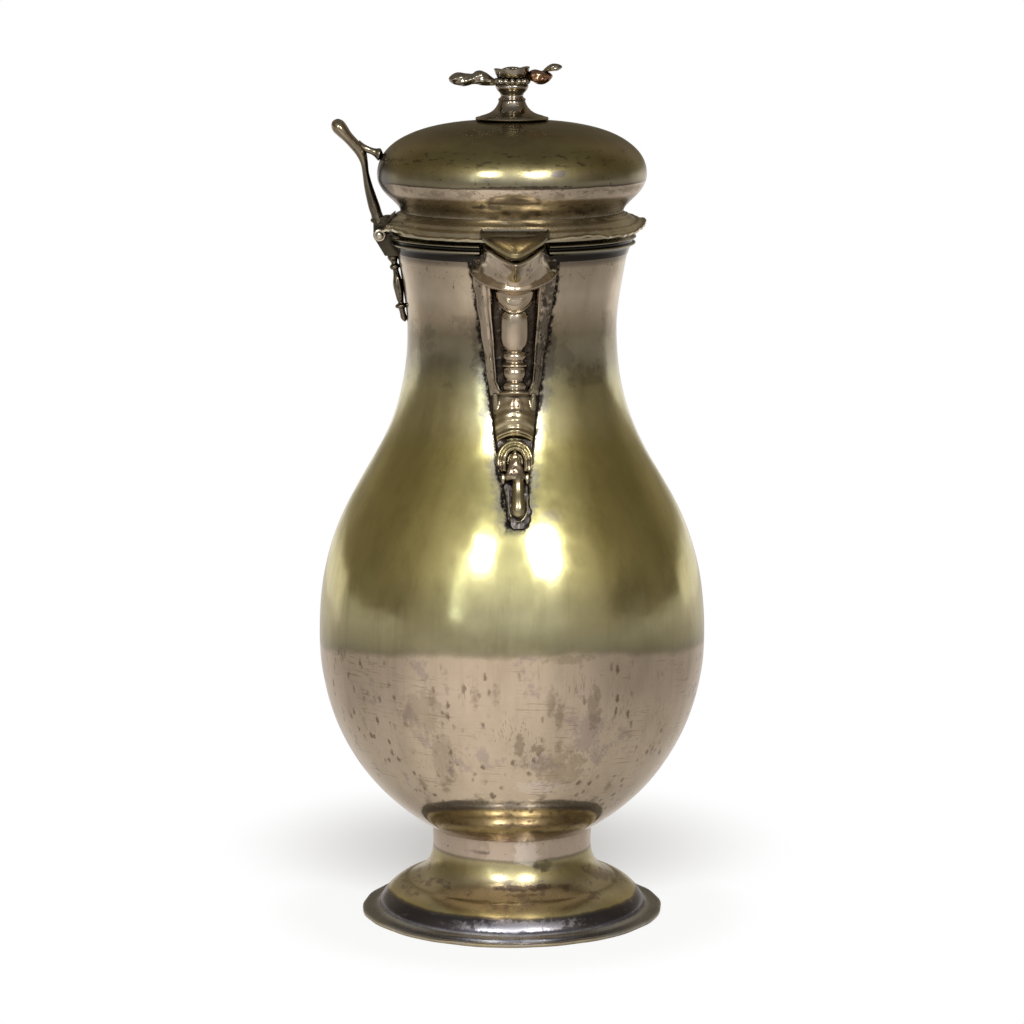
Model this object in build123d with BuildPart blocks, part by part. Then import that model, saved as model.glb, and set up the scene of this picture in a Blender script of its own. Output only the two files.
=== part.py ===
from build123d import *
import os
from math import atan2, cos, degrees, radians, sin

# Chocolate pot: a raised pear-shaped silver body on a domed foot, with a beaked spout at
# the front (-Y), a hinged lid that turns on a pin at the left (-X), a wooden handle at the
# back (+Y) and a finial that lifts out of the lid to let the stirring rod in.
# Millimetres. Origin: centre of the foot's resting face. +Z up.

# ---------------------------------------------------------------- driving dimensions
# body
belly_r = 66.2              # widest outside radius
belly_z = 98.0
waist_r = 35.55             # narrowest radius of the neck
waist_z = 203.5
rim_r = 40.4
rim_z = 235.8               # top edge of the neck
body_wall = 1.0
seat_r = 27.6               # where the foot is soldered on
seat_z = 30.4
seat_slope = 29.8           # degrees from level
base_z = 23.5               # lowest point of the body, inside the foot

# foot
foot_r = 52.1
brim_width = 8.1
brim_thickness = 1.6
foot_step = 1.8             # upright edge between the brim and the dome
foot_edge_r = 45.9
foot_shoulder_r = 36.0
foot_shoulder_z = 11.6
stem_r = 27.3
stem_z = 25.0
foot_wall = 1.0

# rim moulding
moulding_height = 6.2
moulding_proud = 0.9
bead_r = 0.62

# lid
lid_gap = 0.25              # between the closed lid and the rim
collar_clearance = 0.4      # between the lid's collar and the neck
collar_depth = 5.8
collar_wall = 0.9
shoulder_thickness = 0.8
flange_overhang = 5.2       # beyond the rim radius
flange_thickness = 1.0
flange_height = 5.6         # the flange's inner edge above its outer edge
lid_waist_inset = 2.8       # inside the rim radius
lid_crest_overhang = 5.5    # beyond the rim radius
lid_crest_height = 21.2     # above the rim
lid_seat_r = 12.5           # flat seat under the finial
lid_seat_height = 37.6      # above the rim
lid_wall = 0.9
molinet_hole_r = 6.5
molinet_ring_width = 2.2
molinet_ring_thickness = 1.0

# hinge
hinge_reach = 4.3           # pin centre beyond the rim radius
hinge_drop_below_rim = 0.2
knuckle_r = 2.2
knuckle_length = 4.4
middle_knuckle_length = 5.0
knuckle_gap = 0.2
pin_r = 1.0
pin_clearance = 0.05
pin_head_r = 1.5
pin_head_length = 1.1
hinge_clearance = 0.4       # round the knuckles
swing_clearance = 0.8       # under the lid's arm when the lid is thrown back
hinge_plate_height = 7.0
lid_leaf_width = 11.0
lid_leaf_thickness = 1.1
lid_arm_height = 5.0        # middle knuckle's arm above the pin centre

# thumbpiece
thumb_reach = 13.6          # tip beyond the hinge pin
thumb_height = 37.4         # tip above the hinge pin
thumb_root_width = 4.6
thumb_neck_width = 3.0
thumb_pad_width = 7.4
thumb_thickness = 2.2
brace_r = 0.85
brace_height = 28.2         # above the hinge pin

# spout
lip_half_width = 11.1
lip_reach = 18.6            # nose beyond the rim radius
lip_nose_drop = 4.8         # nose of the lip below the rim
cup_half_width = 12.6
cup_reach = 12.6
cup_drop = 8.3
throat_half_width = 7.8
throat_reach = 7.0
throat_drop = 16.5
spout_end_half_width = 4.6
spout_end_reach = 2.6
spout_end_drop = 23.0
nose_half_width = 2.2
spout_wall = 1.3
backplate_thickness = 1.1
backplate_top_half_width = 14.1
backplate_waist_half_width = 7.4
backplate_foot_half_width = 3.9
backplate_margin = 2.6      # below the drop
rail_width = 2.6
rail_proud = 3.2
column_top_drop = 19.8      # below the rim
column_height = 17.5
column_r = 4.3
knop_r = 4.4
knop_height = 3.4
knop_spacing = 9.8
bell_top_r = 3.0
bell_bottom_r = 6.0
bell_height = 11.8
shell_r = 5.6
shell_height = 9.5
leaf_r = 4.6
leaf_height = 5.5
drop_r = 2.5
drop_height = 16.4          # leaf and drop together
ornament_proud = 2.6        # how far an ornament's axis stands off the neck

# flap over the spout
flap_half_width = 11.3
flap_length = 17.6
flap_root_overhang = 1.6    # flap's root beyond the rim radius
flap_slope = 21.0
flap_thickness = 1.0
flap_corner_r = 2.2
flap_border = 1.1
flap_border_height = 0.5

# cast drop under the hinge
husk_proud = 1.7
husk_r = 1.7
drop_bar_r = 1.25
drop_bead_r = 1.9
drop_tail_z = 206.8

# handle
handle_top_z = 213.0
upper_socket_length = 21.2  # from the neck to the socket's mouth
handle_reach = 25.3         # back of the handle's centre line beyond the belly
handle_back_r = 96.0        # long bend down the back
handle_back_angle = 34.0
grip_width = 14.0
grip_thickness = 11.0
grip_tenon = 7.0
tenon_clearance = 0.15
socket_wall = 1.1
socket_foot_flare = 1.35
handle_pin_r = 1.1
pin_proud = 0.5

# finial
finial_gap = 0.2
disc_r = 12.4
disc_thickness = 1.2
plug_length = 6.0
plug_clearance = 0.3
plug_wall = 0.9
finial_neck_r = 4.2
flare_height = 5.6
knop_cup_r = 5.4
knop_cup_height = 5.0
calyx_r = 5.9
calyx_height = 2.6
flower_r = 6.0
flower_height = 3.6
flower_wall = 0.9
left_leaf_length = 16.3     # from the finial's neck
left_leaf_width = 7.6
left_leaf_angle = 3.0       # degrees above level
finial_leaf_thickness = 1.6
right_leaf_length = 12.4
right_leaf_width = 6.0
right_leaf_angle = 18.0
rivet_r = 1.6
rivet_head_r = 3.4
rivet_head_height = 1.2

# ---------------------------------------------------------------- outlines
# how long each curve of the body and the lid keeps the direction of its end
belly_down_pull = 37.3
seat_pull = 18.8
base_pull = 12.0
belly_up_pull = 55.7
waist_down_pull = 50.0
waist_up_pull = 9.0
rim_flare_width = 1.7
rim_flare_height = 8.5
lid_waist_pull = 4.1
lid_crest_down_pull = 7.3
lid_crest_up_pull = 8.2
lid_top_r = 35.3            # where the lid's top starts to round over
lid_top_drop = 1.1          # below the seat


def body_curves(grow):
    """Outline of the body from its base to its rim, moved outwards by grow, as Bezier points."""
    slope = radians(seat_slope)
    base = (0, base_z - grow)
    seat = (seat_r + grow * sin(slope), seat_z - grow * cos(slope))
    belly = (belly_r + grow, belly_z)
    waist = (waist_r + grow, waist_z)
    rim = (rim_r + grow, rim_z)
    return [
        [
            base,
            (base_pull, base[1]),
            (seat[0] - seat_pull / 2 * cos(slope), seat[1] - seat_pull / 2 * sin(slope)),
            seat,
        ],
        [
            seat,
            (seat[0] + seat_pull * cos(slope), seat[1] + seat_pull * sin(slope)),
            (belly[0], belly_z - belly_down_pull),
            belly,
        ],
        [
            belly,
            (belly[0], belly_z + belly_up_pull),
            (waist[0], waist_z - waist_down_pull),
            waist,
        ],
        [
            waist,
            (waist[0], waist_z + waist_up_pull),
            (rim[0] - rim_flare_width, rim_z - rim_flare_height),
            rim,
        ],
    ]


def bezier_at(points, t):
    """Point and direction of a cubic Bezier curve at t."""
    weights = [(1 - t) ** 3, 3 * t * (1 - t) ** 2, 3 * t**2 * (1 - t), t**3]
    place = [sum(w * p[k] for w, p in zip(weights, points)) for k in (0, 1)]
    slopes = [3 * (1 - t) ** 2, 6 * t * (1 - t), 3 * t**2]
    steps = [(b[0] - a[0], b[1] - a[1]) for a, b in zip(points, points[1:])]
    way = [sum(w * s[k] for w, s in zip(slopes, steps)) for k in (0, 1)]
    return place, way


def radius_at(curves, z):
    """Radius of an outline at height z, and how far it leans outwards there (radians)."""
    points = next((p for p in curves if z <= p[-1][1]), curves[-1])
    low, high = 0.0, 1.0
    for _ in range(40):
        middle = (low + high) / 2
        if bezier_at(points, middle)[0][1] < z:
            low = middle
        else:
            high = middle
    place, way = bezier_at(points, low)
    return place[0], atan2(way[0], way[1])


def body_at(z):
    """Outside radius and lean of the body's wall at height z, above its foot."""
    return radius_at(body_curves(0)[1:], z)


def wall_plane(z, azimuth, proud):
    """Plane across an ornament that lies on the body at height z: its normal runs up the wall."""
    radius, lean = body_at(z)
    out = Vector(cos(radians(azimuth)), sin(radians(azimuth)), 0)
    up = out * sin(lean) + Vector(0, 0, cos(lean))
    normal = out * cos(lean) - Vector(0, 0, sin(lean))
    return Plane(
        origin=out * radius + Vector(0, 0, z) + normal * proud, x_dir=normal, z_dir=up
    )


def save(builder, name):
    """Label a finished piece and write it to parts/."""
    builder.part.label = name
    export_step(builder.part, f"parts/{name}.step")


os.makedirs("parts", exist_ok=True)
FRONT = -90                 # azimuths seen from above
LEFT = 180

# ---------------------------------------------------------------- body
rim_inner_r = rim_r - body_wall

# the space the body takes up, solid, for seating other pieces on it
with BuildPart() as body_form:
    with BuildSketch(Plane.XZ):
        with BuildLine():
            for points in body_curves(0):
                Bezier(*points)
            Line((rim_r, rim_z), (rim_r, rim_z + flange_height))
            Line((rim_r, rim_z + flange_height), (0, rim_z + flange_height))
            Line((0, rim_z + flange_height), (0, base_z))
        make_face()
    revolve(axis=Axis.Z)

# ---- spout passage, solid, for cutting the neck and hollowing the beak
spout_levels = [
    (rim_z + flange_height, lip_half_width, lip_reach),
    (rim_z, lip_half_width, lip_reach),
    (rim_z - cup_drop, cup_half_width, cup_reach),
    (rim_z - throat_drop, throat_half_width, throat_reach),
    (rim_z - spout_end_drop, spout_end_half_width, spout_end_reach),
]
spout_back_y = -waist_r + 2 * body_wall


def beak_section(level, inset):
    """Sketch of the beak cut level: a rounded V whose back lies inside the neck."""
    z, half_width, reach = level
    half_width -= inset
    nose_y = -(body_at(min(z, rim_z))[0] + reach - inset)
    nose = max(nose_half_width - inset, 0.6)
    side_y = nose_y * 0.35 + spout_back_y * 0.65
    with BuildSketch(Plane.XY.offset(z)) as section:
        with BuildLine():
            Bezier(
                (-half_width, spout_back_y), (-half_width, side_y), (-nose, nose_y), (0, nose_y)
            )
            Bezier(
                (0, nose_y), (nose, nose_y), (half_width, side_y), (half_width, spout_back_y)
            )
            Line((half_width, spout_back_y), (-half_width, spout_back_y))
        make_face()
    return section.sketch


with BuildPart() as beak_form:
    loft([beak_section(level, 0) for level in reversed(spout_levels)])

with BuildPart() as beak_passage:
    loft([beak_section(level, spout_wall) for level in reversed(spout_levels[:-1])])

with BuildPart() as body_shell:
    with BuildSketch(Plane.XZ):
        with BuildLine():
            for points in body_curves(0) + body_curves(-body_wall):
                Bezier(*points)
            Line((rim_inner_r, rim_z), (rim_r, rim_z))
            Line((0, base_z), (0, base_z + body_wall))
        make_face()
    revolve(axis=Axis.Z)
    add(beak_passage.part, mode=Mode.SUBTRACT)
save(body_shell, "body_shell")

# ---------------------------------------------------------------- foot
foot_dome_z = brim_thickness + foot_step
foot_top_z = seat_z + foot_wall


def foot_curves(grow):
    """Outline of the foot from its top down to its edge, moved outwards by grow."""
    stem = (stem_r + grow, stem_z)
    shoulder = (foot_shoulder_r + grow / 2, foot_shoulder_z + grow)
    edge = (foot_edge_r + grow, foot_dome_z)
    flare = foot_shoulder_r - stem_r
    return [
        [
            stem,
            (stem[0], stem_z - 1.05 * flare),
            (shoulder[0] - 0.4 * flare, shoulder[1] + 0.2 * flare),
            shoulder,
        ],
        [
            shoulder,
            (shoulder[0] + 0.5 * flare, shoulder[1] - 0.05 * flare),
            (edge[0], foot_dome_z + 0.18 * flare),
            edge,
        ],
    ]


with BuildPart() as foot_dome:
    with BuildSketch(Plane.XZ):
        with BuildLine():
            for points in foot_curves(0) + foot_curves(-foot_wall):
                Bezier(*points)
            Polyline(
                (stem_r, stem_z), (stem_r + foot_wall / 4, foot_top_z),
                (stem_r - foot_wall, foot_top_z), (stem_r - foot_wall, stem_z),
            )
            Polyline(
                (foot_edge_r, foot_dome_z), (foot_edge_r, brim_thickness),
                (foot_edge_r - foot_wall, brim_thickness), (foot_edge_r - foot_wall, foot_dome_z),
            )
        make_face()
    revolve(axis=Axis.Z)
    add(body_form.part, mode=Mode.SUBTRACT)
save(foot_dome, "foot_dome")

with BuildPart() as foot_brim:
    with BuildSketch(Plane.XY):
        Circle(foot_r)
        Circle(foot_r - brim_width, mode=Mode.SUBTRACT)
    extrude(amount=brim_thickness)
    fillet(foot_brim.edges().group_by(Axis.Z)[-1].sort_by(SortBy.LENGTH)[-1], brim_thickness * 0.4)
save(foot_brim, "foot_brim")

# ---------------------------------------------------------------- hinge frame
hinge_x = -(rim_r + hinge_reach)
hinge_z = rim_z - hinge_drop_below_rim
middle_half = middle_knuckle_length / 2
hinge_half = middle_half + knuckle_gap + knuckle_length
hinge_pin_span = hinge_half + pin_clearance
hinge_notch_half = hinge_pin_span + pin_head_length + hinge_clearance


def along_y(start):
    """Plane across the hinge pin at y = start, with its normal along +Y."""
    return Plane(origin=(hinge_x, start, hinge_z), x_dir=(-1, 0, 0), z_dir=(0, 1, 0))


# ---------------------------------------------------------------- rim moulding
moulding_r = rim_r + moulding_proud
moulding_low_z = rim_z - moulding_height
moulding_low_r = body_at(moulding_low_z)[0]
cove_z = rim_z - moulding_height * 0.8
with BuildPart() as rim_moulding:
    with BuildSketch(Plane.XZ):
        with BuildLine():
            Polyline(
                (rim_inner_r, rim_z), (moulding_r, rim_z), (moulding_r, cove_z),
                (moulding_low_r + bead_r / 2, moulding_low_z),
                (moulding_low_r - body_wall, moulding_low_z), close=True,
            )
        make_face()
        with Locations((moulding_r, rim_z - 2 * bead_r), (moulding_r, cove_z + bead_r)):
            Circle(bead_r)
    revolve(axis=Axis.Z)
    add(body_form.part, mode=Mode.SUBTRACT)
    add(beak_form.part, mode=Mode.SUBTRACT)
    with Locations((hinge_x, 0, rim_z)):
        Box(
            2 * hinge_reach + 4 * body_wall, 2 * hinge_half, 4 * moulding_height,
            mode=Mode.SUBTRACT,
        )
save(rim_moulding, "rim_moulding")

# ---------------------------------------------------------------- spout
# the lip is cut by a plane that falls from the rim towards the nose
lip_fall = degrees(atan2(lip_nose_drop, lip_reach))
lip_plane = Plane(
    origin=(0, -rim_r, rim_z - lid_gap), x_dir=(1, 0, 0),
    z_dir=(0, -sin(radians(lip_fall)), cos(radians(lip_fall))),
)
with BuildPart() as spout_beak:
    add(beak_form.part)
    add(beak_passage.part, mode=Mode.SUBTRACT)
    add(body_form.part, mode=Mode.SUBTRACT)
    split(bisect_by=lip_plane, keep=Keep.BOTTOM)
save(spout_beak, "spout_beak")


def grown_body(grow):
    """Solid body moved outwards by grow, cut off at the rim, for wrapping plates round it."""
    with BuildPart() as grown:
        with BuildSketch(Plane.XZ):
            with BuildLine():
                for points in body_curves(grow):
                    Bezier(*points)
                Line((rim_r + grow, rim_z), (0, rim_z))
                Line((0, rim_z), (0, base_z - grow))
            make_face()
        revolve(axis=Axis.Z)
    return grown.part


# heights of the cast ornaments, from the column down
column_top_z = rim_z - column_top_drop
column_bottom_z = column_top_z - column_height
upper_knop_z = column_bottom_z - knop_height / 2
lower_knop_z = upper_knop_z - knop_spacing
bell_top_z = lower_knop_z - knop_height / 2
bell_bottom_z = bell_top_z - bell_height
shell_bottom_z = bell_bottom_z - shell_height
leaf_bottom_z = shell_bottom_z - leaf_height
drop_bottom_z = shell_bottom_z - drop_height

backplate_top_z = moulding_low_z
rail_bottom_z = lower_knop_z - knop_height
backplate_outline = [
    (backplate_top_half_width, backplate_top_z),
    (backplate_waist_half_width, rail_bottom_z),
    (bell_bottom_r + backplate_thickness, shell_bottom_z),
    (backplate_foot_half_width, leaf_bottom_z),
    (backplate_foot_half_width, drop_bottom_z - backplate_margin),
]
mirrored_outline = [(-x, z) for x, z in reversed(backplate_outline)]

with BuildPart() as spout_backplate:
    add(grown_body(backplate_thickness))
    with BuildSketch(Plane.XZ):
        with BuildLine():
            Polyline(*backplate_outline, *mirrored_outline, close=True)
        make_face()
    extrude(amount=2 * belly_r, mode=Mode.INTERSECT)
    add(body_form.part, mode=Mode.SUBTRACT)
    add(beak_form.part, mode=Mode.SUBTRACT)
save(spout_backplate, "spout_backplate")

with BuildPart() as spout_rails:
    add(grown_body(rail_proud))
    with BuildSketch(Plane.XZ):
        with BuildLine():
            Polyline(
                (backplate_top_half_width - backplate_thickness, backplate_top_z),
                (backplate_waist_half_width, rail_bottom_z),
                (backplate_waist_half_width - rail_width, rail_bottom_z),
                (backplate_top_half_width - backplate_thickness - rail_width, backplate_top_z),
                close=True,
            )
        make_face()
        mirror(about=Plane.YZ)
    extrude(amount=2 * belly_r, mode=Mode.INTERSECT)
    add(grown_body(backplate_thickness), mode=Mode.SUBTRACT)
    add(beak_form.part, mode=Mode.SUBTRACT)
save(spout_rails, "spout_rails")


def turned(z_from, z_to, azimuth, proud, outline):
    """Turned ornament on the wall from z_from up to z_to, cut where it meets the body's wall.

    outline holds (share of the length, radius) from bottom to top.
    """
    plane = wall_plane((z_from + z_to) / 2, azimuth, proud)
    length = z_to - z_from
    side = Plane(origin=plane.origin, x_dir=plane.x_dir, z_dir=-plane.y_dir)
    with BuildPart() as ornament:
        with BuildSketch(side):
            with BuildLine():
                points = [(radius, (share - 0.5) * length) for share, radius in outline]
                Spline(*points)
                Polyline(points[0], (0, points[0][1]), (0, points[-1][1]), points[-1])
            make_face()
        revolve(axis=Axis(plane.origin, plane.z_dir))
    return ornament.part


ball = [(0.0, 0.35), (0.25, 0.9), (0.5, 1.0), (0.75, 0.9), (1.0, 0.35)]
plate_cover = grown_body(backplate_thickness)

with BuildPart() as spout_knops:
    for height in (upper_knop_z, lower_knop_z):
        add(turned(
            height - knop_height / 2, height + knop_height / 2, FRONT, ornament_proud,
            [(share, knop_r * size) for share, size in ball],
        ))
    add(turned(
        lower_knop_z + knop_height / 2, upper_knop_z - knop_height / 2, FRONT, ornament_proud,
        [(0, bell_top_r * 0.8), (0.5, knop_r * 0.95), (1, bell_top_r * 0.8)],
    ))
    add(plate_cover, mode=Mode.SUBTRACT)
save(spout_knops, "spout_knops")

with BuildPart() as spout_column:
    add(turned(
        column_bottom_z, column_top_z, FRONT, ornament_proud,
        [(0, column_r * 0.92), (0.5, column_r), (1, column_r * 0.95)],
    ))
    add(plate_cover, mode=Mode.SUBTRACT)
    add(beak_form.part, mode=Mode.SUBTRACT)
    add(spout_knops.part, mode=Mode.SUBTRACT)
save(spout_column, "spout_column")

with BuildPart() as spout_bell:
    add(turned(
        bell_bottom_z, bell_top_z, FRONT, ornament_proud / 2,
        [(0, bell_bottom_r), (0.45, bell_bottom_r * 0.86), (1, bell_top_r * 1.2)],
    ))
    add(plate_cover, mode=Mode.SUBTRACT)
    add(spout_knops.part, mode=Mode.SUBTRACT)
save(spout_bell, "spout_bell")

with BuildPart() as spout_shell:
    add(turned(
        shell_bottom_z, bell_bottom_z, FRONT, ornament_proud / 2,
        [(share, shell_r * size) for share, size in ball],
    ))
    add(plate_cover, mode=Mode.SUBTRACT)
    add(spout_bell.part, mode=Mode.SUBTRACT)
save(spout_shell, "spout_shell")

with BuildPart() as spout_drop:
    add(turned(
        drop_bottom_z, shell_bottom_z, FRONT, ornament_proud / 2,
        [(0, drop_r * 0.4), (0.2, drop_r * 1.1), (0.45, drop_r), (0.75, leaf_r * 0.8), (1, leaf_r)],
    ))
    add(plate_cover, mode=Mode.SUBTRACT)
    add(spout_shell.part, mode=Mode.SUBTRACT)
save(spout_drop, "spout_drop")

# ---------------------------------------------------------------- lid
lid_low_z = rim_z + lid_gap
flange_r = rim_r + flange_overhang
lid_waist_r = rim_r - lid_waist_inset
lid_crest_r = rim_r + lid_crest_overhang
lid_crest_z = rim_z + lid_crest_height
lid_seat_z = rim_z + lid_seat_height
collar_r = body_at(rim_z - collar_depth)[0] - body_wall - collar_clearance
flange_low_z = lid_low_z
flange_top_z = flange_low_z + flange_height
lid_waist_z = flange_top_z + flange_thickness

with BuildPart() as lid_bezel:
    with BuildSketch(Plane.XZ):
        with BuildLine():
            Polyline(
                (collar_r - collar_wall, rim_z - collar_depth), (collar_r, rim_z - collar_depth),
                (collar_r, lid_low_z), (rim_r, lid_low_z),
                (rim_r, lid_low_z + shoulder_thickness), (collar_r, lid_low_z + shoulder_thickness),
                (collar_r, lid_waist_z), (collar_r - collar_wall, lid_waist_z), close=True,
            )
        make_face()
    revolve(axis=Axis.Z)
save(lid_bezel, "lid_bezel")

with BuildPart() as lid_flange:
    with BuildSketch(Plane.XZ):
        with BuildLine():
            Polyline(
                (collar_r, flange_top_z), (collar_r, flange_top_z + flange_thickness),
                (lid_waist_r + 1.2 * lid_wall, flange_top_z + flange_thickness),
                (flange_r, flange_low_z + flange_thickness), (flange_r, flange_low_z),
                close=True,
            )
        make_face()
    revolve(axis=Axis.Z)
    with Locations((hinge_x, 0, flange_low_z)):
        Box(
            2 * (knuckle_r + hinge_clearance), 2 * hinge_notch_half, 4 * flange_height,
            mode=Mode.SUBTRACT,
        )
save(lid_flange, "lid_flange")


def lid_curves(grow):
    """Outline of the lid's dome from its waist to its seat, moved outwards by grow."""
    waist = (lid_waist_r + grow, lid_waist_z)
    crest = (lid_crest_r + grow, lid_crest_z)
    seat = (lid_seat_r, lid_seat_z + grow)
    return [
        [
            waist,
            (waist[0], lid_waist_z + lid_waist_pull),
            (crest[0], lid_crest_z - lid_crest_down_pull),
            crest,
        ],
        [
            crest,
            (crest[0], lid_crest_z + lid_crest_up_pull + grow),
            (lid_top_r, seat[1] - lid_top_drop),
            seat,
        ],
    ]


with BuildPart() as lid_dome:
    with BuildSketch(Plane.XZ):
        with BuildLine():
            for points in lid_curves(0) + lid_curves(-lid_wall):
                Bezier(*points)
            Line((lid_waist_r, lid_waist_z), (lid_waist_r - lid_wall, lid_waist_z))
            Polyline(
                (lid_seat_r, lid_seat_z), (molinet_hole_r, lid_seat_z),
                (molinet_hole_r, lid_seat_z - lid_wall), (lid_seat_r, lid_seat_z - lid_wall),
            )
        make_face()
    revolve(axis=Axis.Z)
save(lid_dome, "lid_dome")

with BuildPart() as molinet_ring:
    with BuildSketch(Plane.XY.offset(lid_seat_z - lid_wall)):
        Circle(molinet_hole_r + molinet_ring_width)
        Circle(molinet_hole_r, mode=Mode.SUBTRACT)
    extrude(amount=-molinet_ring_thickness)
save(molinet_ring, "molinet_ring")

# ---- flap over the spout
flap_root_r = rim_r + flap_root_overhang
flap_root_z = flange_low_z + flange_thickness + flange_height * (flange_r - flap_root_r) / (
    flange_r - collar_r
)
flap_plane = Plane(
    origin=(0, -flap_root_r, flap_root_z), x_dir=(1, 0, 0),
    z_dir=(0, -sin(radians(flap_slope)), cos(radians(flap_slope))),
)


def flap_outline(rise, inset):
    """Sketch of the flap, rise above its underside and drawn in by inset."""
    with BuildSketch(flap_plane.offset(rise)) as outline:
        with BuildLine():
            Polyline(
                (-flap_half_width, 0), (flap_half_width, 0),
                (flap_half_width, -flap_corner_r), (0, -flap_length),
                (-flap_half_width, -flap_corner_r), close=True,
            )
        make_face()
        fillet(outline.vertices(), flap_corner_r / 3)
        if inset:
            offset(amount=-inset)
    return outline.sketch


with BuildPart() as spout_flap:
    add(flap_outline(0, 0))
    extrude(amount=flap_thickness + flap_border_height)
    extrude(flap_outline(flap_thickness, flap_border), amount=flap_thickness, mode=Mode.SUBTRACT)
    add(lid_flange.part, mode=Mode.SUBTRACT)
save(spout_flap, "spout_flap")

# ---------------------------------------------------------------- hinge
pin_hole_r = pin_r + pin_clearance

with BuildPart() as hinge_lower_leaf:
    with BuildSketch(along_y(-hinge_half)):
        Circle(knuckle_r)
        with BuildLine():
            Polyline(
                (knuckle_r * 0.7, -knuckle_r * 0.7), (-hinge_reach * 0.4, -hinge_plate_height),
                (-2 * hinge_reach, -hinge_plate_height), (-2 * hinge_reach, 0), (0, 0), close=True,
            )
        make_face()
        Circle(pin_hole_r, mode=Mode.SUBTRACT)
    extrude(amount=2 * hinge_half)
    with BuildSketch(along_y(-middle_half - knuckle_gap)):
        Circle(knuckle_r + swing_clearance)
        with Locations((-hinge_reach, knuckle_r)):
            Rectangle(2 * hinge_reach, 2 * knuckle_r)
    extrude(amount=2 * (middle_half + knuckle_gap), mode=Mode.SUBTRACT)
    add(body_form.part, mode=Mode.SUBTRACT)
save(hinge_lower_leaf, "hinge_lower_leaf")

with BuildPart() as hinge_pin:
    with BuildSketch(along_y(-hinge_pin_span)):
        Circle(pin_r)
    extrude(amount=2 * hinge_pin_span)
    for end, way in ((-hinge_pin_span, -1), (hinge_pin_span, 1)):
        with BuildSketch(along_y(end)):
            Circle(pin_head_r)
        extrude(amount=way * pin_head_length)
    fillet(
        hinge_pin.edges().group_by(Axis.Y)[0] + hinge_pin.edges().group_by(Axis.Y)[-1],
        pin_head_length * 0.8,
    )
save(hinge_pin, "hinge_pin")

drop_top_end_z = hinge_z - hinge_plate_height
with BuildPart() as hinge_drop:
    add(turned(
        drop_tail_z, drop_top_end_z, LEFT, husk_proud,
        [
            (0, 0.5), (0.08, drop_bar_r), (0.14, drop_bar_r * 0.8), (0.2, drop_bead_r * 0.9),
            (0.27, drop_bar_r * 0.8), (0.42, husk_r), (0.57, drop_bar_r * 0.9),
            (0.61, drop_bead_r * 0.9), (0.66, drop_bar_r), (0.84, drop_bar_r), (0.92, drop_bead_r),
            (1, drop_bar_r),
        ],
    ))
    add(body_form.part, mode=Mode.SUBTRACT)
    add(hinge_lower_leaf.part, mode=Mode.SUBTRACT)
save(hinge_drop, "hinge_drop")

flange_slope = flange_height / (flange_r - lid_waist_r - 1.2 * lid_wall)
leaf_inner_r = lid_waist_r + 2 * lid_leaf_thickness
with BuildPart() as lid_hinge_leaf:
    with BuildSketch(Plane.XZ):
        with BuildLine():
            leaf_low_z = flange_low_z + flange_thickness / 2
            leaf_high_z = leaf_low_z + (flange_r - leaf_inner_r) * flange_slope
            leaf_drop = lid_leaf_thickness + flange_thickness / 2
            Polyline(
                (leaf_inner_r, leaf_high_z), (leaf_inner_r, leaf_high_z + leaf_drop),
                (flange_r, leaf_low_z + leaf_drop), (flange_r, leaf_low_z), close=True,
            )
        make_face()
    revolve(axis=Axis.Z)
    with Locations((hinge_x, 0, flange_top_z)):
        Box(2 * (flange_r - leaf_inner_r), lid_leaf_width, 4 * flange_height, mode=Mode.INTERSECT)
    with Locations((hinge_x, 0, hinge_z - knuckle_r)):
        Box(
            2 * (knuckle_r + hinge_clearance), 2 * hinge_notch_half,
            2 * (knuckle_r + hinge_clearance) + knuckle_r, mode=Mode.SUBTRACT,
            align=(Align.CENTER, Align.CENTER, Align.MIN),
        )
    with BuildSketch(along_y(-middle_half)):
        Circle(knuckle_r)
        with BuildLine():
            Polyline(
                (knuckle_r, 0), (knuckle_r, lid_arm_height), (-knuckle_r, lid_arm_height + lid_leaf_thickness),
                (-hinge_reach, lid_arm_height + lid_leaf_thickness), (-hinge_reach, lid_arm_height / 2),
                (-knuckle_r, hinge_clearance), close=True,
            )
        make_face()
    extrude(amount=2 * middle_half)
    add(lid_flange.part, mode=Mode.SUBTRACT)
    with BuildSketch(along_y(-hinge_half)):
        Circle(pin_hole_r)
    extrude(amount=2 * hinge_half, mode=Mode.SUBTRACT)
save(lid_hinge_leaf, "lid_hinge_leaf")

# ---------------------------------------------------------------- thumbpiece
# stations up the lever: shares of its reach and rise, width, thickness and lean in degrees
thumb_stations = [
    (0.09, 0.13, thumb_root_width, 1.45 * thumb_thickness, 8),
    (0.18, 0.30, thumb_root_width * 0.9, 1.3 * thumb_thickness, 11),
    (0.34, 0.57, thumb_neck_width, 0.95 * thumb_thickness, 14),
    (0.47, 0.75, thumb_neck_width * 1.2, 1.4 * thumb_thickness, 26),
    (0.73, 0.88, thumb_pad_width * 0.8, 1.7 * thumb_thickness, 44),
    (1.00, 0.98, thumb_pad_width, 1.2 * thumb_thickness, 52),
    (1.11, 1.01, thumb_pad_width * 0.6, 0.6 * thumb_thickness, 60),
]
with BuildPart() as thumbpiece:
    for reach, rise, width, thickness, lean in thumb_stations:
        station = Plane(
            origin=(hinge_x - reach * thumb_reach, 0, hinge_z + rise * thumb_height),
            x_dir=(0, 1, 0), z_dir=(-sin(radians(lean)), 0, cos(radians(lean))),
        )
        with BuildSketch(station):
            Ellipse(width / 2, thickness / 2)
    loft()
    add(lid_hinge_leaf.part, mode=Mode.SUBTRACT)
save(thumbpiece, "thumbpiece")

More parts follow.
